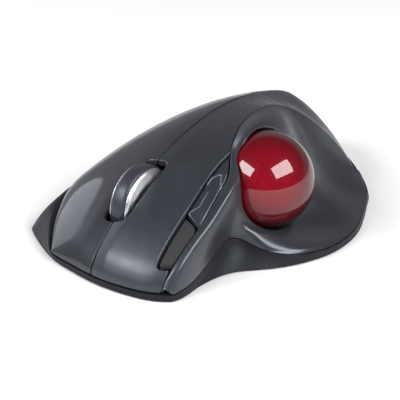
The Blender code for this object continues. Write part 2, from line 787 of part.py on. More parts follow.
def closed_spline(points):
    """Cubic loop: the list is repeated on both ends so the join is smooth."""
    n = len(points)
    wide = points[-4:] + points + points[:4]
    curve = vector_spline(wide)
    return lambda t: curve(t % n + 4)


rim_line = closed_spline([row[1] for row in case_rows()])
foot_line = closed_spline([row[0] for row in case_rows()])
thumb_rim = vector_spline([row[1] for row in case_rows()[:len(THUMB_ROWS)]])


def rim_point(t):
    if 0 <= t <= len(THUMB_ROWS) - 1:
        return thumb_rim(t)
    return rim_line(t)


def side_shape(t, v):
    """Sideways blend from rim to foot: hollow by the thumb, full at the wing."""
    hollow = smooth(1 - abs(t - 5) / 6)
    full = smooth(1 - abs(t - WING_ROW) / 4.5)
    return v ** (1.0 + 0.6 * hollow - 0.45 * full)


def case_shape(per_row):
    count = CASE_COUNT * per_row
    levels = 4
    rings = []
    inward = []
    for i in range(count):
        t = i / per_row
        a = foot_line(t - 0.05)
        b = foot_line(t + 0.05)
        d = Vector((b.x - a.x, b.y - a.y)).normalized()
        inward.append(Vector((-d.y, d.x)))
    for k in range(levels + 1):
        ring = []
        v = k / levels
        for i in range(count):
            t = i / per_row
            top = rim_point(t)
            foot = foot_line(t)
            w = side_shape(t, v)
            x = top.x + (foot.x - top.x) * w
            y = top.y + (foot.y - top.y) * w
            z = top.z + (FLOOR_LOW - top.z) * v
            ring.append(Vector((x, y, z)))
        rings.append(ring)
    inner = []
    for i, p in enumerate(rings[0]):
        q = inward[i] * RIM_WIDTH
        inner.append(Vector((p.x + q.x, p.y + q.y, p.z)))
    rings.insert(0, inner)
    low = []
    for i, p in enumerate(rings[-1]):
        top = inner[i]
        q = inward[i] * 1.9
        x = min(top.x, p.x + q.x) if q.x < 0 else max(top.x, p.x + q.x)
        y = min(top.y, p.y + q.y) if q.y < 0 else max(top.y, p.y + q.y)
        low.append(Vector((x, y, FLOOR_TOP)))
    rings.insert(0, low)
    verts = [p for ring in rings for p in ring]
    faces = []
    for k in range(len(rings) - 1):
        for i in range(count):
            j = (i + 1) % count
            faces.append([k * count + i, k * count + j, (k + 1) * count + j, (k + 1) * count + i])
    last = (len(rings) - 1) * count
    faces.append(list(range(count)))
    faces.append([last + i for i in reversed(range(count))])
    return verts, faces


shape = case_shape(3)
bottom_case = add("bottom_case", shape[0], shape[1], SKIRT, 35)
well = [(right_edge(y), y) for y in (-52, -44, -33, -20, 0, 15, 28, 35, 42, 49, 55, 61)]
well += [(x, front_edge(x) - 1.0) for x in (14, 0, -14, -24)]
well += [(-30.0, 20.0), (-26.0, -30.0), (-33.5, rear_edge(-33.5) + 1.0)]
well += [(x, rear_edge(x)) for x in (-30, -24, -18, -12, -6, 0, 5, 10, 15, 20)]
well = offset_loop(resample(well, 4.0), -SEAM_GAP)
combine(bottom_case, prism(well, FLOOR_TOP + 0.25, 45.0), "DIFFERENCE")

SCREWS_LOW = [(-15.0, -57.0), (15.0, -56.0), (-33.0, -20.0)]
BOARD_SCREWS = [(18.0, 24.0), (-14.5, 18.2)]
for x, y in SCREWS_LOW:
    boss = [(0, 1.8), (3.9, 1.8), (3.9, 5.5), (0, 5.5)]
    combine(bottom_case, revolve(boss, (x, y, 0), (0, 0, 1), 20), "UNION")
for x, y in BOARD_SCREWS + [(14.0, 46.0), (-24.0, 40.0)]:
    boss = [(0, 1.8), (2.4, 1.8), (2.4, BOARD_LOW - 0.2), (0, BOARD_LOW - 0.2)]
    combine(bottom_case, revolve(boss, (x, y, 0), (0, 0, 1), 16), "UNION")
for x, y in SCREWS_LOW:
    hole = [(0, 0.2), (3.0, 0.2), (3.0, 3.2), (1.4, 3.2), (1.4, 6.2), (0, 6.2)]
    combine(bottom_case, revolve(hole, (x, y, 0), (0, 0, 1), 16), "DIFFERENCE")
for x, y in BOARD_SCREWS:
    hole = [(0, 3.2), (1.1, 3.2), (1.1, 7.0), (0, 7.0)]
    combine(bottom_case, revolve(hole, (x, y, 0), (0, 0, 1), 12), "DIFFERENCE")

# battery opening, power slider slot and foot pockets in the floor
DOOR = (-6.2, 27.6, -44.8, 10.3)
opening = rounded(DOOR[0] - 0.3, DOOR[1] + 0.3, DOOR[2] - 0.3, DOOR[3] + 0.3, 1.2, 2)
combine(bottom_case, prism(opening, 0.2, 3.6), "DIFFERENCE")
SLIDER = (14.0, 17.0)
combine(bottom_case, box(SLIDER[0] - 4.3, SLIDER[0] + 4.3, SLIDER[1] - 2.0, SLIDER[1] + 2.0,
                         0.2, 3.6), "DIFFERENCE")
FEET = [(-8.0, 57.5, 12.0, 3.2), (28.0, 43.0, 4.5, 4.5), (-48.0, -3.0, 3.4, 9.0),
        (-2.0, -63.0, 10.0, 3.0), (31.6, 3.0, 2.2, 8.0)]


PAD_TOP = 0.95


def pill(x, y, hx, hy, grow):
    r = min(hx, hy) + grow
    return rounded(x - hx - grow, x + hx + grow, y - hy - grow, y + hy + grow, r * 0.98, 5)


for x, y, hx, hy in FEET:
    combine(bottom_case, prism(pill(x, y, hx, hy, 0.25), 0.2, PAD_TOP + 0.2), "DIFFERENCE")

# bosses that hang from the covers over the low screws
for index, (x, y) in enumerate(SCREWS_LOW):
    cover = palm_cover if index < 2 else thumb_panel
    skin = top_height if index < 2 else panel_height
    combine(cover, post(x, y, 2.5, 5.8, skin, 0.9, 14), "UNION")
    hole = [(0, 5.0), (1.25, 5.0), (1.25, 13.0), (0, 13.4)]
    combine(cover, revolve(hole, (x, y, 0), (0, 0, 1), 14), "DIFFERENCE")

for index, (x, y, hx, hy) in enumerate(FEET):
    shape = prism(pill(x, y, hx, hy, 0.0), 0.0, PAD_TOP)
    add("foot_pad_%d" % (index + 1), shape[0], shape[1], FOOT, 35)
for index, (x, y) in enumerate(SCREWS_LOW):
    turn = [(0, 2.2), (0.8, 2.2), (0.9, 1.4), (2.3, 1.4), (2.6, 1.8), (2.6, 2.9), (1.05, 3.0),
            (1.05, 12.0), (0, 12.8)]
    shape = revolve(turn, (x, y, 0), (0, 0, 1), 14)
    add("case_screw_%d" % (index + 1), shape[0], shape[1], STEEL, 35)
for index, (x, y) in enumerate(BOARD_SCREWS):
    turn = [(0, 3.6), (0.8, 4.0), (0.8, 7.9), (2.0, 7.9), (2.0, 8.7), (1.6, 9.2), (0.7, 9.2),
            (0.6, 8.6), (0, 8.6)]
    shape = revolve(turn, (x, y, 0), (0, 0, 1), 14)
    add("board_screw_%d" % (index + 1), shape[0], shape[1], STEEL, 35)

# ------------------------------------------------------------ ball and cup
turn = [(0, -BALL_RADIUS)]
for i in range(1, 16):
    a = math.pi * i / 16
    turn.append((BALL_RADIUS * math.sin(a), -BALL_RADIUS * math.cos(a)))
turn.append((0, BALL_RADIUS))
verts, faces = revolve(turn, BALL_CENTRE, BALL_FACE, 32)
add("ball", verts, faces, CRIMSON, 60, BALL_CENTRE)

cup = []
for i in range(9):
    a = math.radians(CUP_WINDOW_ANGLE + (CUP_ANGLE - CUP_WINDOW_ANGLE) * i / 8)
    cup.append((CUP_OUTER * math.sin(a), CUP_OUTER * math.cos(a)))
for i in range(9):
    a = math.radians(CUP_ANGLE - (CUP_ANGLE - CUP_WINDOW_ANGLE) * i / 8)
    cup.append((CUP_INNER * math.sin(a), CUP_INNER * math.cos(a)))
verts, faces = revolve(cup, BALL_CENTRE, CUP_AXIS, 36)
ball_cup = add("ball_cup", verts, faces, INNER, 35)
tilt = Vector((0.6, 0.0, 0.8))
for index, spin in enumerate((60, 180, 300)):
    a = math.radians(BEARING_ANGLE)
    b = math.radians(spin)
    way = CUP_AXIS * math.cos(a) + (tilt * math.cos(b) + Vector((0, math.sin(b), 0))) * math.sin(a)
    centre = BALL_CENTRE + way * BEARING_DISTANCE
    turn = [(0, -BEARING_RADIUS)]
    for i in range(1, 6):
        c = math.pi * i / 6
        turn.append((BEARING_RADIUS * math.sin(c), -BEARING_RADIUS * math.cos(c)))
    turn.append((0, BEARING_RADIUS))
    verts, faces = revolve(turn, centre, way, 12)
    add("ball_bearing_%d" % (index + 1), verts, faces, CERAMIC, 60)
    pocket = [(0, -3.0), (1.15, -3.0), (1.15, 0.4), (0.6, 1.1), (0, 1.15)]
    combine(ball_cup, revolve(pocket, centre, way, 12), "DIFFERENCE")

window = BALL_CENTRE + CUP_AXIS * 18.1
verts, faces = revolve([(0, 0.3), (2.4, 0), (3.7, 0.5), (3.7, 2.3), (0, 2.3)], window, CUP_AXIS, 20)
add("sensor_lens", verts, faces, LENS, 35)
across = Vector((0.0, 1.0, 0.0))
shape = tilted_box(BALL_CENTRE + CUP_AXIS * 22.2, across, tilt, CUP_AXIS, (4.6, 4.2, 1.4))
add("sensor_module", shape[0], shape[1], MATT, 35)
shape = tilted_box(BALL_CENTRE + CUP_AXIS * 24.5, across, tilt, CUP_AXIS, (6.5, 5.2, 0.6))
add("sensor_board", shape[0], shape[1], GREEN, 35)

# -------------------------------------------------------------- scroll wheel
WX = WHEEL_CENTRE.x
AXLE = (1, 0, 0)
tread = [(TYRE_RADIUS - 0.9, -TYRE_HALF), (TYRE_RADIUS - 0.25, -TYRE_HALF + 0.6),
         (TYRE_RADIUS, -1.0), (TYRE_RADIUS, 1.0), (TYRE_RADIUS - 0.25, TYRE_HALF - 0.6),
         (TYRE_RADIUS - 0.9, TYRE_HALF), (10.1, TYRE_HALF), (10.1, -TYRE_HALF)]
verts, faces = revolve(tread, WHEEL_CENTRE, AXLE, 40)
add("wheel_tyre", verts, faces, RUBBER, 35, WHEEL_CENTRE)
hub = [(1.25, -2.6), (3.0, -2.6), (3.0, -1.2), (8.0, -1.2), (8.0, -2.6), (HUB_RADIUS, -2.6),
       (HUB_RADIUS, 2.6), (8.0, 2.6), (8.0, 1.2), (3.0, 1.2), (3.0, 2.6), (1.25, 2.6)]
verts, faces = revolve(hub, WHEEL_CENTRE, AXLE, 24)
add("wheel_hub", verts, faces, INNER, 35, WHEEL_CENTRE)
ring = [(8.4, -4.4), (10.4, -4.5), (12.75, -3.1), (12.75, -2.95), (8.4, -2.95)]
verts, faces = revolve(ring, WHEEL_CENTRE, AXLE, 40)
add("wheel_ring_left", verts, faces, CHROME, 35, WHEEL_CENTRE)
ring = [(9.0, 2.95), (12.6, 2.95), (12.6, 3.2), (11.4, 3.6), (9.0, 3.6)]
verts, faces = revolve(ring, WHEEL_CENTRE, AXLE, 40)
add("wheel_ring_right", verts, faces, CHROME, 35, WHEEL_CENTRE)
verts, faces = revolve([(0, -7.2), (AXLE_RADIUS, -7.0), (AXLE_RADIUS, 7.0), (0, 7.2)],
                       WHEEL_CENTRE, AXLE, 12)
add("wheel_axle", verts, faces, STEEL, 35, WHEEL_CENTRE)
verts, faces = revolve([(0, -10.6), (2.2, -10.4), (2.2, -7.6), (0, -7.4)],
                       WHEEL_CENTRE, AXLE, 12)
add("encoder_rotor", verts, faces, WHITE, 35, WHEEL_CENTRE)

verts, faces = prism([(-8.6, 22.0), (5.0, 22.0), (5.0, 52.2), (-8.6, 52.2)], 8.2, 12.6)
cradle = add("wheel_cradle", verts, faces, INNER, 35, (WX, 18.5, 12.6))
combine(cradle, box(-7.2, 3.6, 23.4, 51.0, 7.0, 14.0), "DIFFERENCE")
combine(cradle, box(-8.6, -7.2, 34.4, 40.6, 12.0, 21.4), "UNION")
combine(cradle, box(3.6, 5.0, 34.4, 40.6, 12.0, 21.4), "UNION")
combine(cradle, box(-3.2, 0.0, 16.6, 22.6, 11.6, 12.6), "UNION")
verts, faces = revolve([(0, -9), (1.25, -9), (1.25, 9), (0, 9)], WHEEL_CENTRE, AXLE, 12)
combine(cradle, (verts, faces), "DIFFERENCE")
verts, faces = box(-13.0, -8.9, 32.6, 41.2, 12.6, 22.2)
encoder = add("encoder_body", verts, faces, MATT, 35, (WX, 18.5, 12.6))
verts, faces = revolve([(0, -10.9), (2.5, -10.9), (2.5, -6.8), (0, -6.8)], WHEEL_CENTRE, AXLE, 12)
combine(encoder, (verts, faces), "DIFFERENCE")

# ------------------------------------------------------ boards and switches
outline = [(-29.2, 53.0), (-29.2, 30.0), (-17.0, 26.0), (-17.0, 14.6), (22.0, 14.6), (22.0, 38.0),
           (17.5, 50.0), (6.0, 50.0), (6.0, 24.6), (-9.6, 24.6), (-9.6, 53.0)]
verts, faces = prism(outline[::-1], BOARD_LOW, BOARD_TOP)
board = add("main_board", verts, faces, GREEN, 35)
for x, y in BOARD_SCREWS:
    hole = [(0, 5.0), (1.1, 5.0), (1.1, 9.0), (0, 9.0)]
    combine(board, revolve(hole, (x, y, 0), (0, 0, 1), 12), "DIFFERENCE")

for side, (x, y) in (("left", SWITCH_LEFT), ("right", SWITCH_RIGHT)):
    verts, faces = box(x - 2.9, x + 2.9, y - 6.4, y + 6.4, BOARD_TOP + 0.2, SWITCH_TOP)
    body = add(side + "_switch_body", verts, faces, MATT, 35)
    combine(body, box(x - 0.9, x + 0.9, y - 1.5, y + 1.5, SWITCH_TOP - 2.2, SWITCH_TOP + 1),
            "DIFFERENCE")
    verts, faces = box(x - 0.65, x + 0.65, y - 1.2, y + 1.2, SWITCH_TOP - 1.2, PLUNGER_TOP)
    add(side + "_switch_plunger", verts, faces, WHITE, 35, (x, y, PLUNGER_TOP))

MIDDLE_SWITCH = (WX, 18.2)
for side, (x, y), half in (("middle", MIDDLE_SWITCH, 2.9), ("side_front", SIDE_FRONT_STEM, 1.9),
                           ("side_rear", SIDE_REAR_STEM, 1.9)):
    verts, faces = box(x - half, x + half, y - half, y + half, BOARD_TOP + 0.2, TACT_TOP - 0.2)
    body = add(side + "_switch_body", verts, faces, MATT, 35)
    hole = [(0, TACT_TOP - 1.6), (1.15, TACT_TOP - 1.6), (1.15, 12), (0, 12)]
    combine(body, revolve(hole, (x, y, 0), (0, 0, 1), 12), "DIFFERENCE")
    stub = [(0, TACT_TOP - 0.9), (0.9, TACT_TOP - 0.9), (0.9, TACT_PLUNGER), (0, TACT_PLUNGER)]
    verts, faces = revolve(stub, (x, y, 0), (0, 0, 1), 12)
    add(side + "_switch_plunger", verts, faces, WHITE, 35, (x, y, TACT_PLUNGER))

# flat cable from the sensor board to the main board
path = [(12.5, 10.4), (13.3, 11.2), (14.4, 11.0), (15.4, 9.6), (16.4, 8.2), (18.4, 7.95)]
under = [(y, z - 0.3) for y, z in path]
side_view = path + under[::-1]
verts = [(-9.6, y, z) for y, z in side_view] + [(-5.2, y, z) for y, z in side_view]
n = len(side_view)
faces = [list(range(n)), list(range(n, 2 * n))[::-1]]
faces += [[i, (i + 1) % n, n + (i + 1) % n, n + i] for i in range(n)]
add("ribbon_cable", verts, faces, CELL, 35)

# -------------------------------------------------------- battery and power
bx, by, bz = BATTERY_CENTRE
LENGTHWAYS = (0, 1, 0)
verts, faces = box(-7.0, 11.0, -45.5, 11.0, 3.0, 18.7)
tray = add("battery_tray", verts, faces, INNER, 35)
combine(tray, box(10.0, 27.3, -39.5, -17.5, 3.0, 10.2), "UNION")
combine(tray, box(-5.7, 9.7, -44.2, 9.7, 2.0, 17.6), "DIFFERENCE")
combine(tray, box(11.7, 26.3, -38.5, -18.7, 2.0, 9.1), "DIFFERENCE")
body = [(0, -24.3), (6.6, -24.3), (BATTERY_RADIUS, -23.7), (BATTERY_RADIUS, 24.6), (6.6, 25.2),
        (2.8, 25.2), (2.7, 26.2), (0, 26.2)]
verts, faces = revolve(body, BATTERY_CENTRE, LENGTHWAYS, 24)
add("battery_cell", verts, faces, CELL, 35)
verts, faces = box(bx - 5, bx + 5, 9.15, 9.5, bz - 5, bz + 5)
add("battery_plate", verts, faces, STEEL, 35)
WIRE = 0.3
SPRING_TURNS = 2.2
SPRING_STEPS = 36
verts = []
faces = []
for i in range(SPRING_STEPS + 1):
    s = i / SPRING_STEPS
    a = 2 * math.pi * SPRING_TURNS * s
    big = 4.6 - 1.6 * s
    outward = Vector((math.cos(a), 0, math.sin(a)))
    middle = Vector((bx, -43.7 + 1.5 * s, bz)) + outward * big
    for k in range(6):
        b = math.pi * k / 3
        verts.append(middle + outward * (WIRE * math.cos(b)) + Vector((0, WIRE * math.sin(b), 0)))
for i in range(SPRING_STEPS):
    for k in range(6):
        j = (k + 1) % 6
        faces.append([i * 6 + k, i * 6 + j, i * 6 + 6 + j, i * 6 + 6 + k])
faces.append(list(range(6)))
faces.append([SPRING_STEPS * 6 + k for k in reversed(range(6))])
add("battery_spring", verts, faces, STEEL, 60)
verts, faces = prism(rounded(*DOOR, 0.9, 2), 0.6, 2.4)
door = add("battery_door", verts, faces, SKIRT, 35, (10.7, DOOR[2] + 0.2, 0.8))
for i in range(4):
    combine(door, box(5, 16, 2.0 + 1.5 * i, 2.8 + 1.5 * i, 0.3, 1.1), "DIFFERENCE")
verts, faces = box(13.0, 25.0, -38.0, -25.4, 3.0, 7.5)
add("usb_receiver_plug", verts, faces, STEEL, 35)
verts, faces = prism(rounded(12.1, 25.9, -25.1, -19.3, 1.5, 3), 2.8, 8.6)
add("usb_receiver_cap", verts, faces, MATT, 35)
sx, sy = SLIDER
verts, faces = box(sx - 3.9, sx + 0.3, sy - 1.7, sy + 1.7, 1.1, 3.2)
add("power_slider", verts, faces, WHITE, 35, (sx - 1.8, sy, 1.1))
verts, faces = box(sx - 5.0, sx + 5.0, sy - 2.1, sy + 2.1, 3.5, 5.8)
add("power_switch_body", verts, faces, STEEL, 35)
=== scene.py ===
"""Looks of the thumb trackball mouse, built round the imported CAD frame.

Shapes are made from the same section rows and curves as the CAD part, only
finer and with rounded edges. Design sizes are millimetres; OFFSET moves the
working frame onto the part's origin.
"""
import json
import math
import bpy
import bmesh
import numpy as np
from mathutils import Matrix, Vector
from mathutils.geometry import delaunay_2d_cdt


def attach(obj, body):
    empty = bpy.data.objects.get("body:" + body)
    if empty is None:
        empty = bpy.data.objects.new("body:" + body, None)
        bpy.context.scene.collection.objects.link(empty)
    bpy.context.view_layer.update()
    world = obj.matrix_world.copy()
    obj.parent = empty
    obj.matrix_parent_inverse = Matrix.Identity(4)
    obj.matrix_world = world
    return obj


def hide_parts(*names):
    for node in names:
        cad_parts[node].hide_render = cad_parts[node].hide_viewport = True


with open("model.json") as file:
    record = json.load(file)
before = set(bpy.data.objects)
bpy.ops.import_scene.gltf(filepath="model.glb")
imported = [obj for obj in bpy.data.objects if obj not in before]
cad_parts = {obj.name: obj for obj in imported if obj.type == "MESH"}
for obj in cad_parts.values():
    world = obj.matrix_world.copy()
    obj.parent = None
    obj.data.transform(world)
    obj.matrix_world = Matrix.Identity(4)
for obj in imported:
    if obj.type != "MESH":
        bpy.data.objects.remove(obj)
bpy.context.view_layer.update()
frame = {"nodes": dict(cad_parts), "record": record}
scene = bpy.context.scene

MM = 0.001
OFFSET = Vector((8.35, 3.05, 0.0))
SEAM_GAP = 0.34      # between neighbouring covers
SEAM_X = -2.0        # seam between the two buttons
HINGE_Y = -33.0      # rear end of the buttons
CREST_Z = 38.8       # top of the hump
COVER_EDGE_Z = 4.5   # lowest edge of the covers
FLOOR_LOW = 0.5      # under side and inner face of the case floor
FLOOR_TOP = 2.6
FIN_WIDTH = 1.2      # upstanding lip beside the side buttons, and behind them
REAR_FIN = 0.9
RIM_WIDTH = 1.5      # wall of the bottom case

BALL_RADIUS = 17.0
BALL_CENTRE = Vector((-31.1, 5.6, 22.7))
BALL_FACE = Vector((-0.951, 0.0, 0.310)).normalized()
RIM_RADIUS = 17.4    # opening for the ball

WHEEL_CENTRE = Vector((-1.6, 37.5, 18.2))
# slot for the wheel between the buttons
SLOT_LEFT = -7.1
SLOT_RIGHT = 2.9
SLOT_REAR = 27.8
SLOT_FRONT = 52.8
SLOT_CORNER = 3.0


# ---- curves
def spline(points):
    """Natural cubic through (t, value) points; straight beyond the ends."""
    ts, vs = zip(*sorted(points))
    n = len(ts)
    low, mid, upp, rhs = [0.0] * n, [1.0] * n, [0.0] * n, [0.0] * n
    for i in range(1, n - 1):
        h0 = low[i] = ts[i] - ts[i - 1]
        h1 = upp[i] = ts[i + 1] - ts[i]
        mid[i] = 2 * (h0 + h1)
        rhs[i] = 6 * ((vs[i + 1] - vs[i]) / h1 - (vs[i] - vs[i - 1]) / h0)
    for i in range(1, n):
        m = low[i] / mid[i - 1]
        mid[i] -= m * upp[i - 1]
        rhs[i] -= m * rhs[i - 1]
    bend = [0.0] * n
    for i in range(n - 2, 0, -1):
        bend[i] = (rhs[i] - upp[i] * bend[i + 1]) / mid[i]

    def value(t):
        if t <= ts[0]:
            h = ts[1] - ts[0]
            return vs[0] + ((vs[1] - vs[0]) / h - h * bend[1] / 6) * (t - ts[0])
        if t >= ts[-1]:
            h = ts[-1] - ts[-2]
            return vs[-1] + ((vs[-1] - vs[-2]) / h + h * bend[-2] / 6) * (t - ts[-1])
        i = 0
        while t > ts[i + 1]:
            i += 1
        h = ts[i + 1] - ts[i]
        a = (ts[i + 1] - t) / h
        b = (t - ts[i]) / h
        curve = (a ** 3 - a) * bend[i] + (b ** 3 - b) * bend[i + 1]
        return a * vs[i] + b * vs[i + 1] + curve * h * h / 6
    return value


def vector_spline(points):
    """Spline through points of any dimension, one step of t per point."""
    parts = [spline([(i, p[k]) for i, p in enumerate(points)]) for k in range(len(points[0]))]
    return lambda t: Vector([part(t) for part in parts])


def smooth(t):
    """Ease from 0 to 1 as t goes from 0 to 1."""
    t = min(max(t, 0.0), 1.0)
    return t * t * (3 - 2 * t)


def spread(a, b, count):
    """Even values from a to b, both ends included."""
    return [a + (b - a) * i / count for i in range(count + 1)]


def soft_corner(p, corner, q, s):
    """Point at s on the short curve from p to q that is drawn to the corner."""
    return p * (1 - s) ** 2 + corner * 2 * s * (1 - s) + q * s * s


# front edge of the buttons in plan, y against x
front_edge = spline([(-32, 61.2), (-28, 63.4), (-23.5, 65.1), (-17, 66.1), (-10, 66.4),
                     (-2, 65.6), (7, 63.6), (14.4, 62.0), (18.5, 61.0), (24, 59.5)])


def rear_edge(x):
    """Rear edge of the palm cover in plan."""
    return -69.6 + (0.016 if x < 0 else 0.0245) * x * x


# Crown height against the square root of the distance from either end; level
# beyond CROWN_END.
CROWN_END = 12
crown_front = spline([(0, 3.7), (1, 7), (1.73, 10.3), (2.65, 14.3), (3.32, 17.5), (4.7, 24.3),
                      (6.08, 30.8), (7.0, 34.7), (7.78, 36.7), (8.6, 38.0), (9.4, 38.65),
                      (10.2, CREST_Z), (CROWN_END, CREST_Z)])
crown_rear = spline([(0, 4.5), (1.4, 11.6), (2.4, 18.8), (3.3, 25.4), (4.2, 29.9), (5.1, 32.7),
                     (6.0, 35.1), (7.0, 37.4), (8.2, 38.7), (9.4, CREST_Z),
                     (CROWN_END, CREST_Z)])
SIDE_POWER = 1.27    # fullness of the right flank
FALL_REACH = 20      # distance over which left_fall is measured
FALL_POWER = 1.3
# against y: right edge of the top cover, its height, and the fall to the left
right_edge = spline([(70, 12), (61, 18.5), (55, 22.7), (49, 26), (42, 29.3), (35, 31.8),
                     (28, 33.2), (15, 33.9), (0, 34.2), (-20, 33.7), (-40, 31), (-55, 25),
                     (-66, 16), (-75, 6)])
right_height = spline([(70, 3.7), (61, 4.2), (55, 6.5), (49, 9), (42, 10.8), (35, 12),
                       (28, 12.2), (15, 11.5), (0, 10.5), (-20, 9), (-40, 7.5), (-58, 5.2),
                       (-75, 4.5)])
left_fall = spline([(66, 0.5), (30, 0.4), (15, -1.2), (5, -3.0), (-5, -4.0), (-15, -4.2),
                    (-25, -1.6), (-35, 3.4), (-43, 7.8), (-52, 10.0), (-60, 12.0)])


def groove(x, y):
    """Shallow valley along the middle seam, sharper on its left side."""
    depth = 0.5 + 0.8 * smooth((y - 26) / 22)
    depth *= smooth((y + 6) / 18)
    left = max(0.0, 1 - (SEAM_X - x) / 5.0) if x < SEAM_X else 1.0
    right = 1 - smooth((x - SEAM_X) / 8.0) if x > SEAM_X else 1.0
    return depth * left * right


def top_height(x, y):
    """Height of the smooth top cover above the table."""
    ahead = min(math.sqrt(max(front_edge(x) - y, 0.0)), CROWN_END)
    behind = min(math.sqrt(max(y - rear_edge(x), 0.0)), CROWN_END)
    z = crown_front(ahead) + crown_rear(behind) - CREST_Z
    if x > SEAM_X:
        side = min((x - SEAM_X) / (right_edge(y) - SEAM_X), 1.0)
        z -= (z - right_height(y)) * (1 - math.sqrt(max(1 - side ** SIDE_POWER, 0)))
    else:
        fall = left_fall(y) * ((SEAM_X - x) / FALL_REACH) ** FALL_POWER
        z -= fall * (z - COVER_EDGE_Z) / (CREST_Z - COVER_EDGE_Z)
    return z - groove(x, y) * min(1.0, ahead / 2)


# Thumb side, front to rear. Each row: top edge in plan, three points down the
# face, the crease above the case skirt, and the foot of the case.
THUMB_ROWS = [
    ((-29.3, 62.2), (-30.9, 62, 5.3), (-32, 61.5, 4.4), (-32.6, 61, 3.7),
     (-32.8, 60.5, 3), (-32.8, 60.8)),
    ((-30.9, 57.6), (-32.3, 57.2, 11), (-33.4, 56.4, 8.5), (-33.8, 55.4, 6),
     (-33.7, 54.5, 3.7), (-33.8, 56.5)),
    ((-31.8, 50.5), (-33.2, 50, 16.4), (-34, 49, 12.5), (-33.8, 47.6, 8.6),
     (-33.4, 46.5, 5.3), (-33.7, 50)),
    ((-32.3, 43), (-33.9, 42.5, 20.8), (-34.4, 41, 16.6), (-33.4, 39, 12),
     (-32.6, 37, 8.3), (-34.2, 43)),
    ((-31.8, 35.5), (-33.6, 35, 25), (-34.3, 33.6, 20.4), (-33.4, 31.4, 15),
     (-32.8, 29.5, 10.3), (-35.6, 36.8)),
    ((-31, 29), (-33.2, 28.7, 28.4), (-34, 27.8, 22.5), (-34.6, 26.8, 14.5),
     (-36.4, 25.5, 8.6), (-38.5, 31.5)),
    ((-30.2, 24.4), (-32.4, 24, 30), (-33.6, 23.6, 22), (-36.8, 23.3, 12),
     (-42.5, 23.3, 6.3), (-43.5, 26.3)),
    ((-27.2, 19.2), (-30, 19.2, 33), (-33, 19, 22.5), (-38.2, 18.8, 10.5),
     (-48.6, 18.8, 4.7), (-49, 19.8)),
    ((-23.4, 13.6), (-28, 13.2, 38.2), (-32.9, 12.6, 22.5), (-39.3, 12.5, 8),
     (-53.2, 12.4, 3.9), (-53.3, 12)),
    ((-20, 4.8), (-26.8, 5, 40.5), (-32.8, 4, 22.5), (-40, 3.6, 6.8),
     (-56.2, 3.2, 3.3), (-56.4, 3)),
    ((-18.6, -5), (-26.2, -5.5, 39.6), (-33, -6.5, 22.5), (-40.6, -7.3, 7.4),
     (-56.8, -8, 3.3), (-57, -8)),
    ((-19, -15.5), (-25.6, -15.8, 36), (-32.4, -17, 21), (-41, -19.4, 8),
     (-53.8, -21, 3.3), (-54.2, -21)),
    ((-20.5, -26.8), (-25, -27.2, 27.5), (-31, -29, 15.5), (-38, -32.8, 6.8),
     (-47, -36.6, 3.3), (-47.4, -36.7)),
    ((-26.5, -38), (-29.4, -38.8, 16), (-33.2, -40.3, 10.6), (-37.9, -42.8, 6),
     (-42.6, -44.8, 3.9), (-43.2, -45.2)),
    ((-35.5, -49.7), (-35.8, -50, 7), (-36.2, -50.3, 6.1), (-36.6, -50.6, 5.4),
     (-36.9, -50.8, 4.6), (-37.5, -51.5)),
]
LAST_ROW = len(THUMB_ROWS) - 1
# Rest of the case, rear to front by the right side. Each row: foot in plan,
# then the outer top edge of the rim.
CASE_ROWS = [
    ((-26, -62.5), (-25.5, -61.6, 4.5)), ((-13, -70.5), (-12.6, -69.4, 4.5)),
    ((2, -72.8), (2, -71.6, 4.6)), ((18, -66.5), (17, -65.5, 4.8)),
    ((28, -55), (27, -55, 5.6)), ((33.8, -40), (33, -40, 7.5)),
    ((36.4, -20), (35.6, -20, 9)), ((36.6, 0), (36.1, 0, 10.5)),
    ((36, 18), (35.7, 18, 11.5)), ((36.5, 30), (35, 28.5, 12)),
    ((39.3, 38), (33.4, 36, 11.6)), ((40.3, 43.8), (31.4, 42, 10.6)),
    ((38.6, 47.2), (29, 47, 9.4)), ((33.2, 51.4), (26.2, 52.2, 7.8)),
    ((26.3, 56), (22.5, 57.4, 5.4)), ((18, 60.6), (18.4, 60.9, 2.9)),
    ((10, 63.2), (10, 63, 2.6)), ((0.5, 65.5), (0.5, 65.3, 2.6)),
    ((-9, 66.7), (-9, 66.5, 2.6)), ((-18, 66.5), (-18, 66.3, 2.6)),
    ((-25.5, 65.3), (-25.6, 65, 2.6)), ((-30.5, 63), (-30.4, 62.6, 2.6)),
]
# plan position of the thumb panel's top edge, then the lines below it, t in rows
thumb_edge = vector_spline([row[0] for row in THUMB_ROWS])
thumb_lines = [vector_spline([row[k] for row in THUMB_ROWS]) for k in (1, 2, 3, 4)]
TOP_EDGE_LOWEST = 4.8


def thumb_point(t, v):
    """Point on the thumb panel, v runs from top edge to crease."""
    edge = thumb_edge(t)
    first = Vector((edge.x, edge.y, max(top_height(edge.x, edge.y), TOP_EDGE_LOWEST)))
    column = [first] + [line(t) for line in thumb_lines]
    knots = [0.0]
    for a, b in zip(column, column[1:]):
        knots.append(knots[-1] + math.sqrt((b - a).length))
    u = v * knots[-1]
    return Vector([spline([(k, p[i]) for k, p in zip(knots, column)])(u) for i in range(3)])


def fin_width(t):
    """Width of the upstanding fin that borders the side button recess."""
    ahead = FIN_WIDTH * smooth(t / 1.1) * smooth((8.6 - t) / 2.0)
    return ahead + REAR_FIN * smooth((t - 11.6) / 1.4)


def across_edge(t):
    """Level direction from the thumb panel's top edge towards the buttons."""
    d = (thumb_edge(t + 0.02) - thumb_edge(t - 0.02)).normalized()
    return Vector((-d.y, d.x, 0.0))


def edge_run(t0, t1, gap, count):
    """Plan points one gap beyond the fin on the thumb panel's top edge."""
    out = []
    for t in spread(t0, t1, count):
        here = thumb_edge(t)
        side = across_edge(t)
        reach = fin_width(t) + gap
        out.append((here.x + side.x * reach, here.y + side.y * reach))
    return out


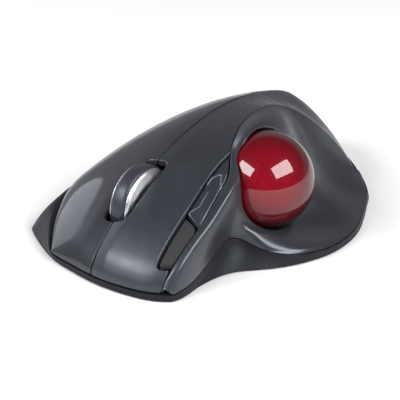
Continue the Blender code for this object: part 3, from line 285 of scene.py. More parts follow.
def row_at_y(y):
    """Row number at which the thumb panel's top edge passes y."""
    low, high = 5.0, float(LAST_ROW)
    for _ in range(40):
        mid = (low + high) / 2
        if thumb_edge(mid).y > y:
            low = mid
        else:
            high = mid
    return (low + high) / 2


# ---- mesh helpers
def place(point):
    """Design millimetres to metres on the part's origin."""
    return (Vector(point) + OFFSET) * MM


def add(name, verts, faces, look, normals=None, angle=None):
    """Mesh object from millimetre points, smooth, with optional normals."""
    mesh = bpy.data.meshes.new(name)
    mesh.from_pydata([place(v) for v in verts], [], faces)
    mesh.update()
    if normals is None:
        shape = bmesh.new()
        shape.from_mesh(mesh)
        bmesh.ops.remove_doubles(shape, verts=shape.verts, dist=1e-7)
        bmesh.ops.recalc_face_normals(shape, faces=shape.faces)
        shape.to_mesh(mesh)
        shape.free()
    mesh.shade_smooth()
    if angle is not None:
        mesh.set_sharp_from_angle(angle=math.radians(angle))
    obj = bpy.data.objects.new(name, mesh)
    scene.collection.objects.link(obj)
    if look is not None:
        mesh.materials.append(look)
    if normals is not None:
        mesh.normals_split_custom_set_from_vertices([tuple(n) for n in normals])
    return obj


def revolve(profile, centre, axis, count):
    """Closed (radius, height) profile turned about an axis; returns verts, faces."""
    axis = Vector(axis).normalized()
    side = axis.orthogonal().normalized()
    other = axis.cross(side)
    verts, rings, faces = [], [], []
    for radius, height in profile:
        base = Vector(centre) + axis * height
        if radius < 1e-6:
            rings.append([len(verts)] * count)
            verts.append(base)
            continue
        rings.append(list(range(len(verts), len(verts) + count)))
        for i in range(count):
            a = 2 * math.pi * i / count
            verts.append(base + (side * math.cos(a) + other * math.sin(a)) * radius)
    pairs = list(zip(rings, rings[1:]))
    if profile[0][0] > 1e-6:
        pairs.append((rings[-1], rings[0]))
    for first, second in pairs:
        for i in range(count):
            j = (i + 1) % count
            face = list(dict.fromkeys((first[i], first[j], second[j], second[i])))
            if len(face) > 2:
                faces.append(face)
    return verts, faces


def soft_profile(points, radius, steps=5):
    """Round the corners of a closed (radius, height) profile."""
    out = []
    n = len(points)
    for i in range(n):
        here = Vector(points[i])
        if here.x < 1e-6:
            out.append(tuple(here))
            continue
        a = Vector(points[i - 1]) - here
        b = Vector(points[(i + 1) % n]) - here
        reach = min(radius, a.length * 0.45, b.length * 0.45)
        p = here + a.normalized() * reach
        q = here + b.normalized() * reach
        for k in range(steps + 1):
            out.append(tuple(soft_corner(p, here, q, k / steps)))
    return out


def tube_faces(rows, width):
    """Quads of a row of closed rings with `width` points each, ends capped."""
    faces = []
    for i in range(rows - 1):
        for j in range(width):
            k = (j + 1) % width
            faces.append([i * width + j, i * width + k, (i + 1) * width + k,
                          (i + 1) * width + j])
    faces.append(list(range(width)))
    faces.append([(rows - 1) * width + j for j in reversed(range(width))])
    return faces


def prism(loop, low, high):
    """Upright prism over a plan loop."""
    n = len(loop)
    verts = [(p[0], p[1], low) for p in loop] + [(p[0], p[1], high) for p in loop]
    faces = [list(range(n))[::-1], list(range(n, 2 * n))]
    for i in range(n):
        j = (i + 1) % n
        faces.append([i, j, n + j, n + i])
    return verts, faces


def rounded(x0, x1, y0, y1, radius, count=8):
    """Rectangle with round corners, in plan."""
    loop = []
    corners = ((x1 - radius, y1 - radius, 0), (x0 + radius, y1 - radius, 90),
               (x0 + radius, y0 + radius, 180), (x1 - radius, y0 + radius, 270))
    for cx, cy, start in corners:
        for i in range(count + 1):
            a = math.radians(start + 90 * i / count)
            loop.append((cx + radius * math.cos(a), cy + radius * math.sin(a)))
    return loop


def resample(loop, step):
    """Closed loop with no side longer than a step."""
    out = []
    n = len(loop)
    for i in range(n):
        a = Vector(loop[i][:2])
        b = Vector(loop[(i + 1) % n][:2])
        if (b - a).length < 1e-6:
            continue
        parts = max(1, math.ceil((b - a).length / step))
        for k in range(parts):
            out.append(tuple(a.lerp(b, k / parts)))
    return out


def round_corners(loop, radius, sharp=0.35):
    """Replace corners sharper than `sharp` radians by short curves."""
    out = []
    n = len(loop)
    for i in range(n):
        here = Vector(loop[i])
        a = Vector(loop[i - 1]) - here
        b = Vector(loop[(i + 1) % n]) - here
        if a.length < 1e-6 or b.length < 1e-6 or math.pi - a.angle(b) < sharp:
            out.append(tuple(here))
            continue
        reach = min(radius, a.length * 0.48, b.length * 0.48)
        p = here + a.normalized() * reach
        q = here + b.normalized() * reach
        for s in spread(0, 1, 4):
            out.append(tuple(soft_corner(p, here, q, s)))
    return out


def offset_loop(loop, amount):
    """Loop moved inwards by an amount along its mitred normals."""
    out = []
    n = len(loop)
    for i in range(n):
        here = Vector(loop[i])
        d0 = (here - Vector(loop[i - 1])).normalized()
        d1 = (Vector(loop[(i + 1) % n]) - here).normalized()
        normal = Vector((-d0.y - d1.y, d0.x + d1.x))
        size = max(normal.length_squared / 2, 0.3)
        out.append(tuple(here + normal / size * amount))
    return out


def measure(loop, points):
    """Inside flag, distance to the loop and nearest loop point, per point."""
    a = np.array(loop)
    b = np.roll(a, -1, axis=0)
    p = np.array(points, float).reshape(-1, 2)
    hit, best, near = np.zeros(len(p), bool), np.full(len(p), 1e9), np.zeros((len(p), 2))
    for q0, q1 in zip(a, b):
        dx, dy = q1 - q0
        s = ((p[:, 0] - q0[0]) * dx + (p[:, 1] - q0[1]) * dy) / max(dx * dx + dy * dy, 1e-12)
        s = np.clip(s, 0, 1)
        c = q0 + s[:, None] * (q1 - q0)
        d = np.hypot(*(p - c).T)
        closer = d < best
        best[closer] = d[closer]
        near[closer] = c[closer]
        if abs(dy) > 1e-12:
            crosses = (q0[1] > p[:, 1]) != (q1[1] > p[:, 1])
            hit ^= crosses & (p[:, 0] < q0[0] + (p[:, 1] - q0[1]) * dx / dy)
    return hit, best, near


def base_normal(height, x, y):
    """Upward normal of a height function."""
    d = 0.04
    gx = (height(x + d, y) - height(x - d, y)) / (2 * d)
    gy = (height(x, y + d) - height(x, y - d)) / (2 * d)
    return Vector((-gx, -gy, 1.0)).normalized()


ROLL_ANGLES = (22, 45, 67, 90)
HEX_ROW = 0.87       # row spacing of a grid of even triangles
THINNEST = 0.12


def plate(node, body, look, loop, corner, height, roll=0.45, wall=1.4, thick=1.7,
          step=1.7, rings=(0.9, 1.5, 2.3), spacing=0.8, under=None):
    """Shell over a plan loop with a rounded rim and its own shading normals.

    roll is the radius of the rounded rim, rings are further rows of points at
    those distances from it, and under gives the lowest height allowed.
    """
    loop = resample(round_corners(loop, corner), spacing)
    n = len(loop)
    points = list(loop)
    distances = [roll * (1 - math.cos(math.radians(a))) for a in ROLL_ANGLES] + list(rings)
    for distance in distances:
        ring = offset_loop(loop, distance)
        flag, best, _ = measure(loop, ring)
        last = None
        for p, ok, d in zip(ring, flag, best):
            if not ok or d < 0.93 * distance:
                continue
            if last and math.hypot(p[0] - last[0], p[1] - last[1]) < 0.35 * spacing:
                continue
            points.append(p)
            last = p
    xs, ys = zip(*loop)
    grid = []
    for r in range(int((max(ys) - min(ys)) / (step * HEX_ROW)) + 1):
        y = min(ys) + (r + 0.5) * step * HEX_ROW
        for c in range(int((max(xs) - min(xs)) / step) + 2):
            grid.append((min(xs) + (c + 0.5 * (r % 2)) * step, y))
    flag, best, _ = measure(loop, grid)
    margin = distances[-1] + 0.5 * step
    points += [p for p, ok, d in zip(grid, flag, best) if ok and d > margin]
    edges = [(i, (i + 1) % n) for i in range(n)]
    flat = [Vector(p) for p in points]
    verts2, _, tris, source, _, _ = delaunay_2d_cdt(flat, edges, [list(range(n))], 1, 1e-6)
    _, best, near = measure(loop, [(v.x, v.y) for v in verts2])
    outer, inner, up, down = [], [], [], []
    for v, origin, d, q in zip(verts2, source, best, near):
        x, y = v.x, v.y
        index = min(origin) if origin else n
        base = base_normal(height, x, y)
        z = height(x, y)
        if index < n:
            t = (Vector(loop[(index + 1) % n]) - Vector(loop[index - 1])).normalized()
            out = Vector((t.y, -t.x, 0.0))
            outer.append(Vector((x, y, z - roll)))
            up.append(out)
            inner.append(Vector((x, y, max(z - roll - wall, FLOOR_TOP + 0.6))))
            down.append(out)
            continue
        k = min(d / roll, 1.0)
        cosine = 1 - k
        sine = math.sqrt(max(1 - cosine * cosine, 0.0))
        out = Vector((q[0] - x, q[1] - y, 0.0))
        out = out.normalized() if out.length > 1e-9 else Vector((0, 0, 0))
        outer.append(Vector((x, y, z - roll * (1 - sine))))
        up.append((base * sine + out * cosine).normalized())
        inner.append(Vector((x, y, z)) - base * thick)
        down.append(-base)
    if under is not None:
        for p, q in zip(outer, inner):
            q.z = min(max(q.z, under(q.x, q.y)), p.z - THINNEST)
    m = len(outer)
    faces = [list(t) for t in tris] + [[m + k for k in reversed(t)] for t in tris]
    sides = {(a, b) for t in tris for a, b in zip(t, list(t[1:]) + [t[0]])}
    for a, b in sorted(sides):
        if (b, a) not in sides:
            faces.append([b, a, m + a, m + b])
    obj = add(node + "_skin", outer + inner, faces, look, up + down)
    stands_for(obj, node, body)


cutters = []


def boolean(obj, shape, operation="DIFFERENCE"):
    """Add a cut with (or a union with) a closed shape, applied by settle."""
    helper = add("cutter_" + obj.name + "_%d" % len(obj.modifiers), shape[0], shape[1], None)
    step = obj.modifiers.new("cut", "BOOLEAN")
    step.operation = operation
    step.solver = "EXACT"
    step.object = helper
    cutters.append(helper)


def settle(obj, angle):
    """Apply an object's cuts to its own mesh and drop the cutters."""
    graph = bpy.context.evaluated_depsgraph_get()
    mesh = bpy.data.meshes.new_from_object(obj.evaluated_get(graph))
    obj.modifiers.clear()
    obj.data = mesh
    mesh.shade_smooth()
    mesh.set_sharp_from_angle(angle=math.radians(angle))
    while cutters:
        bpy.data.objects.remove(cutters.pop())


def stands_for(obj, node, body):
    """Show a skin in place of a CAD node, on its body."""
    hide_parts(node)
    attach(obj, body)


# ---- materials
VIOLET = (0.80, 0.87, 1.0)   # cool tint of the highlights


def feed(tree, node, inputs):
    """Set or link a node's inputs, by name or number, from values or sockets."""
    for key, value in inputs.items():
        if isinstance(value, bpy.types.NodeSocket):
            tree.links.new(value, node.inputs[key])
        else:
            node.inputs[key].default_value = value


def make(tree, kind, inputs):
    node = tree.nodes.new("ShaderNode" + kind)
    feed(tree, node, inputs)
    return node


def shader_base(name):
    """New material with its node tree, shader and object coordinates."""
    mat = bpy.data.materials.new(name)
    mat.use_nodes = True
    tree = mat.node_tree
    where = make(tree, "TexCoord", {}).outputs["Object"]
    return mat, tree, tree.nodes["Principled BSDF"], where


def noise(tree, where, scale, detail=3.0, rough=0.5):
    return make(tree, "TexNoise", {"Scale": scale, "Detail": detail, "Roughness": rough,
                                   "Vector": where}).outputs["Fac"]


def span(tree, value, low, high, old_low=0.3, old_high=0.7):
    """Map a value from one range to another, clamped."""
    return make(tree, "MapRange", {"From Min": old_low, "From Max": old_high, "To Min": low,
                                   "To Max": high, "Value": value}).outputs["Result"]


def blend(tree, factor, a, b):
    """Mix of two colours, each a tuple or a socket."""
    node = make(tree, "Mix", {"Factor": factor})
    node.data_type = "RGBA"
    for key, colour in ((6, a), (7, b)):
        feed(tree, node, {key: (*colour, 1.0) if isinstance(colour, tuple) else colour})
    return node.outputs[2]


def bump(tree, shader, height, distance, strength=1.0, below=None):
    """Relief on the shader's normal, over an earlier one if given."""
    node = make(tree, "Bump", {"Distance": distance, "Strength": strength, "Height": height})
    if below is not None:
        feed(tree, node, {"Normal": below})
    feed(tree, shader, {"Normal": node.outputs["Normal"]})
    return node.outputs["Normal"]


def moulded(name, dark, light, rough, grain=0.00003, grain_scale=5200.0, specular=0.5,
            coat=0.0, coat_rough=0.2, tint=(1.0, 1.0, 1.0)):
    """Moulded plastic: fine spark-eroded grain, slight colour and gloss drift."""
    mat, tree, shader, where = shader_base(name)
    drift = noise(tree, where, 45.0, 4.0)
    worn = noise(tree, where, 260.0, 5.0, 0.6)
    feed(tree, shader, {"Base Color": blend(tree, span(tree, drift, 0.0, 1.0), dark, light),
                        "Roughness": span(tree, worn, rough - 0.05, rough + 0.05),
                        "Specular IOR Level": specular, "Specular Tint": (*tint, 1.0),
                        "Coat Weight": coat, "Coat Roughness": coat_rough})
    fine = noise(tree, where, grain_scale, 2.0)
    first = bump(tree, shader, worn, grain * 2, 0.25)
    bump(tree, shader, fine, grain, 0.5, first)
    return mat


def metal(name, colour, rough, lines=(1.0, 1.0, 1.0), scale=3000.0, dark=0.75, relief=0.4):
    """Turned or brushed metal: fine lines drawn out along one direction."""
    mat, tree, shader, where = shader_base(name)
    stretch = make(tree, "Mapping", {"Scale": lines, "Vector": where})
    grain = noise(tree, stretch.outputs["Vector"], scale, 4.0, 0.6)
    dull = tuple(c * dark for c in colour)
    feed(tree, shader, {"Base Color": blend(tree, span(tree, grain, 0.0, 1.0), dull, colour),
                        "Roughness": span(tree, grain, rough * 0.75, rough * 1.3),
                        "Metallic": 1.0})
    bump(tree, shader, grain, 0.00001, relief)
    return mat


def ball_material():
    """Deep crimson resin with fine pearl flakes under a polished skin; painted shade darkens it
    towards its outline.
    """
    mat, tree, shader, where = shader_base("crimson_pearl")
    cells = make(tree, "TexVoronoi", {"Scale": 2600.0, "Vector": where})
    flakes = span(tree, cells.outputs["Color"], 0.0, 1.0, 0.80, 1.0)
    swirl = span(tree, noise(tree, where, 60.0, 3.0), 0.0, 1.0)
    body = blend(tree, swirl, (0.170, 0.0006, 0.0065), (0.215, 0.0009, 0.0100))
    body = blend(tree, flakes, body, (0.36, 0.004, 0.028))
    # painted shade: the colour falls to near black where the ball turns away from the camera,
    # standing in for the shade round its edge
    edge = make(tree, "LayerWeight", {"Blend": 0.68})
    body = blend(tree, edge.outputs["Facing"], body, (0.02, 0.0006, 0.002))
    feed(tree, shader, {"Base Color": body, "Roughness": 0.32, "Specular IOR Level": 0.04,
                        "Coat Weight": 1.0, "Coat Roughness": 0.015, "Coat IOR": 1.55})
    bump(tree, shader, cells.outputs["Distance"], 0.000004, 0.3)
    return mat


def board_material():
    """Green solder mask with routed copper lines showing through."""
    mat, tree, shader, where = shader_base("solder_mask")
    bricks = make(tree, "TexBrick", {
        "Scale": 300.0, "Mortar Size": 0.06, "Color1": (0.010, 0.085, 0.032, 1),
        "Color2": (0.014, 0.105, 0.040, 1), "Mortar": (0.030, 0.150, 0.055, 1),
        "Vector": where})
    feed(tree, shader, {"Base Color": bricks.outputs["Color"],
                        "Roughness": span(tree, noise(tree, where, 900.0), 0.3, 0.45)})
    bump(tree, shader, bricks.outputs["Fac"], 0.00004, 0.4)
    return mat


CHARCOAL = ((0.0165, 0.0175, 0.022), (0.023, 0.0245, 0.030))
satin = moulded("satin_moulding", *CHARCOAL, 0.40, specular=0.68, coat=0.08, coat_rough=0.3,
                tint=VIOLET)
crisp_satin = moulded("crisp_satin_moulding", *CHARCOAL, 0.42, specular=0.28, coat=0.5,
                      coat_rough=0.07, tint=VIOLET)
thumb_satin = moulded("thumb_moulding", (0.022, 0.023, 0.028), (0.030, 0.031, 0.037), 0.31,
                      specular=0.56, coat=0.15, coat_rough=0.18, tint=VIOLET)
skirt = moulded("case_moulding", (0.0095, 0.0098, 0.0115), (0.0135, 0.0138, 0.0160), 0.5,
                grain=0.00006, grain_scale=3600.0, specular=0.22, tint=VIOLET)
matt = moulded("matt_moulding", (0.0230, 0.0235, 0.0255), (0.0290, 0.0296, 0.0320), 0.62,
               grain=0.00006, grain_scale=4200.0, specular=0.2)
gloss = moulded("gloss_moulding", (0.020, 0.022, 0.028), (0.026, 0.028, 0.034), 0.2,
                grain=0.00001, specular=0.6, coat=0.4, coat_rough=0.08, tint=VIOLET)
# painted highlight: light grey moulding for the beads that stand in for the bright edge, ridge
# and bracket highlights of the rear side key
painted_highlight_trim = moulded("painted_highlight_moulding", (0.10, 0.107, 0.125), (0.13, 0.138, 0.16), 0.22,
               grain=0.000005, specular=0.7, coat=0.4, coat_rough=0.1, tint=VIOLET)
rubber = moulded("wheel_rubber_skin", (0.024, 0.024, 0.033), (0.034, 0.034, 0.046), 0.38,
                 grain=0.00002, grain_scale=4200.0, specular=0.5, tint=VIOLET)
inner = moulded("inner_moulding", (0.030, 0.031, 0.034), (0.046, 0.047, 0.050), 0.5)
white_part = moulded("white_moulding", (0.60, 0.60, 0.57), (0.70, 0.70, 0.67), 0.4)
foot = moulded("slide_pad", (0.026, 0.026, 0.028), (0.038, 0.038, 0.040), 0.35,
               grain=0.00008, grain_scale=2500.0)
sleeve = moulded("cell_sleeve_skin", (0.14, 0.15, 0.17), (0.19, 0.20, 0.22), 0.3, coat=0.4)
lens = moulded("clear_lens", (0.60, 0.66, 0.70), (0.70, 0.75, 0.78), 0.08, grain=0.000004)
ceramic = moulded("polished_ceramic", (0.78, 0.78, 0.75), (0.88, 0.88, 0.86), 0.12,
                  grain=0.000004, coat=0.5)
chrome = metal("satin_chrome", (0.80, 0.81, 0.83), 0.34, (0.02, 1.0, 1.0), 160.0, 0.97, 0.0)
steel = metal("plain_steel", (0.55, 0.55, 0.56), 0.3, (1.0, 1.0, 0.1))
board_green = board_material()
crimson = ball_material()

BY_SLOT = {"satin_charcoal": satin, "case_black": skirt, "matt_black": matt,
           "wheel_rubber": rubber, "bright_ring": chrome, "steel": steel,
           "crimson_ball": crimson, "inner_plastic": inner, "circuit_board": board_green,
           "bearing_ceramic": ceramic, "sensor_lens": lens, "foot_pad": foot,
           "cell_sleeve": sleeve, "switch_white": white_part}
SLOT_OF = {part["node"]: part["material_slot"] for part in frame["record"]["subparts"]}

# bevel widths, in metres, of the CAD solids that are shown as they are
EDGE_ROUNDS = {"foot_pad": 0.00025, "steel": 0.00012, "inner_plastic": 0.00018,
               "case_black": 0.00025, "matt_black": 0.00015, "cell_sleeve": 0.0002,
               "circuit_board": 0.0001, "switch_white": 0.0001}
for name, obj in frame["nodes"].items():
    slot = SLOT_OF[name]
    obj.data.materials.clear()
    obj.data.materials.append(BY_SLOT[slot])
    if slot in EDGE_ROUNDS and name != "battery_spring":
        edge = obj.modifiers.new("soft edges", "BEVEL")
        edge.width = EDGE_ROUNDS[slot]
        edge.segments = 2
        edge.limit_method = "ANGLE"
        edge.angle_limit = math.radians(35)
        edge.harden_normals = True


# ---- covers
BUTTON_REAR = HINGE_Y + 0.15
PALM_FRONT = HINGE_Y - 0.2
PALM_CORNER = [(-33.2, -52.0), (-32.1, -53.1)]
TIP_ROW = 7.55       # where the side button recess ends
RECESS_FRONT = [(-28.6, 60.0), (-26.4, 60.9), (-25.3, 60.6)]
BUTTON_CORNER_X = 18.5
BUTTON_CORNER_Y = 61.0


def slot_side(side, count=14):
    """One half of the wheel slot, front to rear; side is -1 left, +1 right."""
    x = SLOT_LEFT if side < 0 else SLOT_RIGHT
    r = SLOT_CORNER
    seam = SEAM_X + side * SEAM_GAP / 2
    turns = [math.radians(a) for a in spread(0, 90, count)]
    front = [(x - side * r * (1 - math.sin(a)), SLOT_FRONT - r * (1 - math.cos(a)))
             for a in turns]
    rear = [(x - side * r * (1 - math.cos(a)), SLOT_REAR + r * (1 - math.sin(a)))
            for a in turns]
    return [(seam, SLOT_FRONT)] + front + rear + [(seam, SLOT_REAR)]


# inner side of the side button recess in plan, front to rear
recess = vector_spline([(-25.0, 59.4), (-24.9, 52.5), (-24.8, 44.5), (-24.2, 36.0),
                        (-23.6, 28.0), (-23.7, 22.0)])


def left_outline():
    seam = SEAM_X - SEAM_GAP / 2
    loop = [(seam, BUTTON_REAR)] + slot_side(-1)[::-1]
    loop += [(x, front_edge(x)) for x in spread(seam, -28.75, 40)]
    loop += edge_run(0.35, 0.6, SEAM_GAP, 2) + RECESS_FRONT
    loop += [tuple(recess(t)) for t in spread(0, 5, 40)]
    return loop + edge_run(TIP_ROW, row_at_y(BUTTON_REAR), SEAM_GAP, 60)


def right_outline():
    seam = SEAM_X + SEAM_GAP / 2
    loop = [(seam, BUTTON_REAR)]
    loop += [(right_edge(y), y) for y in spread(BUTTON_REAR, BUTTON_CORNER_Y, 60)]
    loop += [(x, front_edge(x)) for x in spread(BUTTON_CORNER_X, seam, 30)[1:]]
    return loop + slot_side(1)


def palm_outline():
    loop = edge_run(row_at_y(PALM_FRONT), LAST_ROW, SEAM_GAP, 26) + PALM_CORNER
    loop += [(x, rear_edge(x)) for x in range(-31, 21)]
    return loop + [(right_edge(y), y) for y in spread(-59.6, PALM_FRONT, 24)[1:]]


def clear_of_ball(x, y):
    """Lowest height that stays outside the ball's own space."""
    flat = (RIM_RADIUS + 0.05) ** 2 - (x - BALL_CENTRE.x) ** 2 - (y - BALL_CENTRE.y) ** 2
    return BALL_CENTRE.z + math.sqrt(flat) if flat > 0 else -100.0


def left_clear(x, y):
    """Lowest height of the left button, clear of ball and case when pressed."""
    corner = 3.75 if x < -24.5 and y > 56 else 0.0
    return max(clear_of_ball(x, y), corner)


def right_clear(x, y):
    """Lowest height of the right button, clear of the case when pressed."""
    return 3.2 + 0.95 * smooth((x - 12) / 4) * smooth((y - 54) / 3)


plate("left_button", "left_button", satin, left_outline(), 0.5, top_height,
      under=left_clear)
plate("right_button", "right_button", crisp_satin, right_outline(), 0.5,
      top_height, under=right_clear)
plate("palm_cover", "base", satin, palm_outline(), 0.4, top_height)


# ---- side buttons
KEY_INSET = Vector((-0.62, 0.0))   # from the button's side of the recess
KEY_GAP = 0.42                     # to the fin
SPLIT_POINT = (-30.0, 45.5)        # between the two keys, at the fin


front_outline = [(-25.9, 60.0)]
front_outline += [tuple(recess(t) + KEY_INSET) for t in spread(0.15, 2.02, 16)]
front_outline += [SPLIT_POINT] + edge_run(2.45, 0.95, KEY_GAP, 12)
rear_outline = [tuple(recess(t) + KEY_INSET) for t in spread(2.15, 5.0, 24)]
rear_outline += edge_run(7.3, 2.85, KEY_GAP, 40)


def side_of(line, x, y):
    """Signed distance to a plan polyline, positive on its left (+X) side."""
    best, sign = 1e9, 1.0
    for (x0, y0), (x1, y1) in zip(line, line[1:]):
        dx, dy = x1 - x0, y1 - y0
        s = ((x - x0) * dx + (y - y0) * dy) / (dx * dx + dy * dy)
        s = min(max(s, 0.0), 1.0)
        d = math.hypot(x - x0 - s * dx, y - y0 - s * dy)
        if d < best:
            best, sign = d, 1.0 if dx * (y - y0) - dy * (x - x0) > 0 else -1.0
    return sign * best


# plan lines of the folds on the two keys
RIDGE = [(-24.6, 45.5), (-27.5, 39.4), (-26.4, 29.6), (-25.6, 17.0)]
HOOK = [(-24.8, 31.4), (-24.7, 28.4), (-26.9, 25.9), (-28.4, 28.9)]
FRONT_FOLD = [(-27.2, 62.0), (-28.0, 44.0)]


def rear_height(x, y):
    """Two facets meeting on a ridge, with a raised hook at the thumb end."""
    d = side_of(RIDGE, x, y)
    z = top_height(x, y) - 0.35
    z -= 0.16 * d if d > 0 else -0.42 * d
    hook = abs(side_of(HOOK, x, y))
    return z + 0.25 * smooth((1.3 - hook) / 0.8)


def front_height(x, y):
    """Sunk key with a slight fold along its length."""
    fold = side_of(FRONT_FOLD, x, y)
    return top_height(x, y) - 0.95 - 0.10 * abs(fold)


plate("side_button_front", "side_front", matt, front_outline[::-1], 0.6,
      front_height, roll=0.28, wall=1.2, thick=1.4, step=1.0, rings=(0.6, 1.1), spacing=0.5)
plate("side_button_rear", "side_rear", gloss, rear_outline[::-1], 0.5,
      rear_height, roll=0.4, wall=1.2, thick=1.4, step=0.33, rings=(0.6, 0.85), spacing=0.3,
      under=lambda x, y: clear_of_ball(x, y) + 0.8)


def bead(name, path, height, radius, look):
    """Fine raised line that follows a surface along a plan path."""
    line = [Vector(p) for p in path]
    verts = []
    sides = 10
    for i, p in enumerate(line):
        d = (line[min(i + 1, len(line) - 1)] - line[max(i - 1, 0)]).normalized()
        side = Vector((-d.y, d.x, 0.0))
        taper = radius * math.sqrt(min(1.0, (min(i, len(line) - 1 - i) + 0.15) / 2.0))
        base = Vector((p.x, p.y, height(p.x, p.y)))
        for k in range(sides):
            a = 2 * math.pi * k / sides
            verts.append(base + side * taper * math.cos(a) + Vector((0, 0, taper * math.sin(a))))
    return add(name, verts, tube_faces(len(line), sides), look, angle=60)


def open_path(points, step):
    """Polyline with no side longer than a step."""
    out = []
    for a, b in zip(points, points[1:]):
        count = max(1, math.ceil(math.hypot(b[0] - a[0], b[1] - a[1]) / step))
        out += [(a[0] + (b[0] - a[0]) * k / count, a[1] + (b[1] - a[1]) * k / count)
                for k in range(count)]
    return out + [points[-1]]


# painted highlights: the bracket, edge and ridge beads of the rear side key are light grey lines
# standing in for their highlights
RIDGE_LINE = [(-25.6, 43.2), (-27.3, 39.4), (-26.6, 33.2)]
for name, path, radius in (("side_rear_bracket", open_path(HOOK, 0.3), 0.24),
                           ("side_rear_edge_line", edge_run(6.2, 2.98, 1.0, 60), 0.2),
                           ("side_rear_ridge_line", open_path(RIDGE_LINE, 0.4), 0.14)):
    line = bead(name, path, rear_height, radius, painted_highlight_trim)
    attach(line, "side_rear")


# ---- thumb panel
PANEL_T = 280        # steps along the rows and down the face
PANEL_V = 84
PANEL_THICK = 1.2
TAIL_THINNER = 0.7   # taken off the thickness at the rear end
EDGE_ROUND = 0.5     # top edge, then the turned-in lower edge
CREASE_ROUND = 0.3
RIM_SOFT = 1.1       # roll round the ball opening
PANEL_START = -0.15
LEDGE_SWELL = 2.2    # height of the bead and where it starts and peaks
LEDGE_FOOT = 0.62
LEDGE_TOP = 0.84


def soften_rim(p):
    """Roll the skin inwards where it comes close to the ball opening."""
    d = p - BALL_CENTRE
    h = d.dot(BALL_FACE)
    r = math.sqrt(max(d.length_squared - h * h, 0.0))
    limit = RIM_RADIUS if h > 0 else math.sqrt(max(RIM_RADIUS ** 2 - h * h, 0.0))
    q = min(max(1 - (r - limit) / RIM_SOFT, 0.0), 1.0)
    return p - BALL_FACE * RIM_SOFT * (1 - math.sqrt(1 - q * q))


def panel_row(i):
    return PANEL_START + (LAST_ROW - PANEL_START) * i / PANEL_T


def ledge_swell(t, v):
    """Soft bead that rolls the thumb ledge over towards the crease."""
    reach = smooth((t - 4.6) / 1.6) * smooth((10.6 - t) / 2.4)
    if v < LEDGE_TOP:
        return LEDGE_SWELL * reach * smooth((v - LEDGE_FOOT) / (LEDGE_TOP - LEDGE_FOOT))
    s = (v - LEDGE_TOP) / (1 - LEDGE_TOP)
    return LEDGE_SWELL * reach * math.sqrt(max(1 - s * s, 0.0))


def panel():
    """Thumb panel as one closed ring of points per row; returns verts, faces."""
    columns, normals, rows = [], [], []
    for i in range(PANEL_T + 1):
        t = panel_row(i)
        edge = thumb_point(t, 0.0)
        head = EDGE_ROUND / ((thumb_point(t, 0.04) - edge).length / 0.04)
        crease = thumb_point(t, 1.0)
        tail = 1 - min(CREASE_ROUND / ((thumb_point(t, 0.97) - crease).length / 0.03), 0.4)
        column = [thumb_point(t, v) for v in spread(head, tail, PANEL_V)]
        for j, p in enumerate(column):
            p.z += ledge_swell(t, j / PANEL_V)
        columns.append(column)
    for i in range(PANEL_T + 1):
        a, here, b = columns[max(i - 1, 0)], columns[i], columns[min(i + 1, PANEL_T)]
        line = []
        for j in range(PANEL_V + 1):
            dv = here[min(j + 1, PANEL_V)] - here[max(j - 1, 0)]
            line.append(dv.cross(b[j] - a[j]).normalized())
        normals.append(line)
    for i in range(PANEL_T + 1):
        t = panel_row(i)
        depth = PANEL_THICK - TAIL_THINNER * smooth((t - 12.4) / 1.4)
        here = columns[i]
        edge = thumb_point(t, 0.0)
        p1 = edge + across_edge(t) * max(fin_width(t), 0.05)
        p2 = p1 - Vector((0, 0, EDGE_ROUND))
        ring = [p2 - Vector((0, 0, 1.3)), p2]
        for k in range(1, 7):
            s = 1 - k / 7
            ring.append(here[0] * (1 - s) ** 3 + edge * 3 * s * (1 - s) ** 2
                        + p1 * 3 * s * s * (1 - s) + p2 * s ** 3)
        ring += here
        crease = thumb_point(t, 1.0)
        n = normals[i][-1]
        inward = Vector((-n.x, -n.y, 0.0)).normalized()
        ring += [soft_corner(here[-1], crease, crease + inward * CREASE_ROUND, s)
                 for s in spread(0, 1, 4)[1:]]
        ring.append(crease + inward * depth)
        for j in range(PANEL_V, -1, -1):
            q = here[j] - normals[i][j] * depth
            q.z = max(q.z, crease.z + 0.05)
            ring.append(q)
        rows.append([soften_rim(p) for p in ring])
    return [p for row in rows for p in row], tube_faces(len(rows), len(rows[0]))


def ball_profile(radius, count):
    """Sphere profile from its lower pole, one 64th of a half turn per point."""
    turns = [math.pi * i / 64 for i in range(1, count + 1)]
    return [(0.0, -radius)] + [(radius * math.sin(a), -radius * math.cos(a)) for a in turns]


thumb = add("thumb_panel_skin", *panel(), thumb_satin)
opening = ball_profile(RIM_RADIUS, 32) + [(RIM_RADIUS, 14.0), (0, 14.0)]
boolean(thumb, revolve(opening, BALL_CENTRE, BALL_FACE, 180))
settle(thumb, 50)
stands_for(thumb, "thumb_panel", "base")

# ---- bottom case
WING_ROW = len(THUMB_ROWS) + 11
HOLLOW_ROW = 5
FRONT_DROP = 0.16    # keeps the front rim clear of the pressed buttons
RIM_SOFTNESS = 0.35
FOOT_SOFTNESS = 0.45


def crease_rim(row):
    """Foot and rim of the case below a thumb row, one seam gap under the crease."""
    crease = row[4]
    return row[5], (crease[0], crease[1], crease[2] - SEAM_GAP)


def closed_spline(points, lap=4):
    """Spline through a closed run of points, carried round its own ends."""
    n = len(points)
    curve = vector_spline(points[-lap:] + points + points[:lap])
    return lambda t: curve(t % n + lap)


case_rows = [crease_rim(row) for row in THUMB_ROWS] + CASE_ROWS
foot_line = closed_spline([row[0] for row in case_rows])
rim_line = closed_spline([row[1] for row in case_rows])
thumb_rim = vector_spline([row[1] for row in case_rows[:LAST_ROW + 1]])


def rim_point(t):
    return thumb_rim(t) if 0 <= t <= LAST_ROW else rim_line(t)


def side_shape(t, v):
    """Share of the way from rim to foot in plan, at v of the way down."""
    hollow = smooth(1 - abs(t - HOLLOW_ROW) / 6)
    full = smooth(1 - abs(t - WING_ROW) / 4.5)
    return v ** (1.0 + 0.6 * hollow - 0.45 * full)


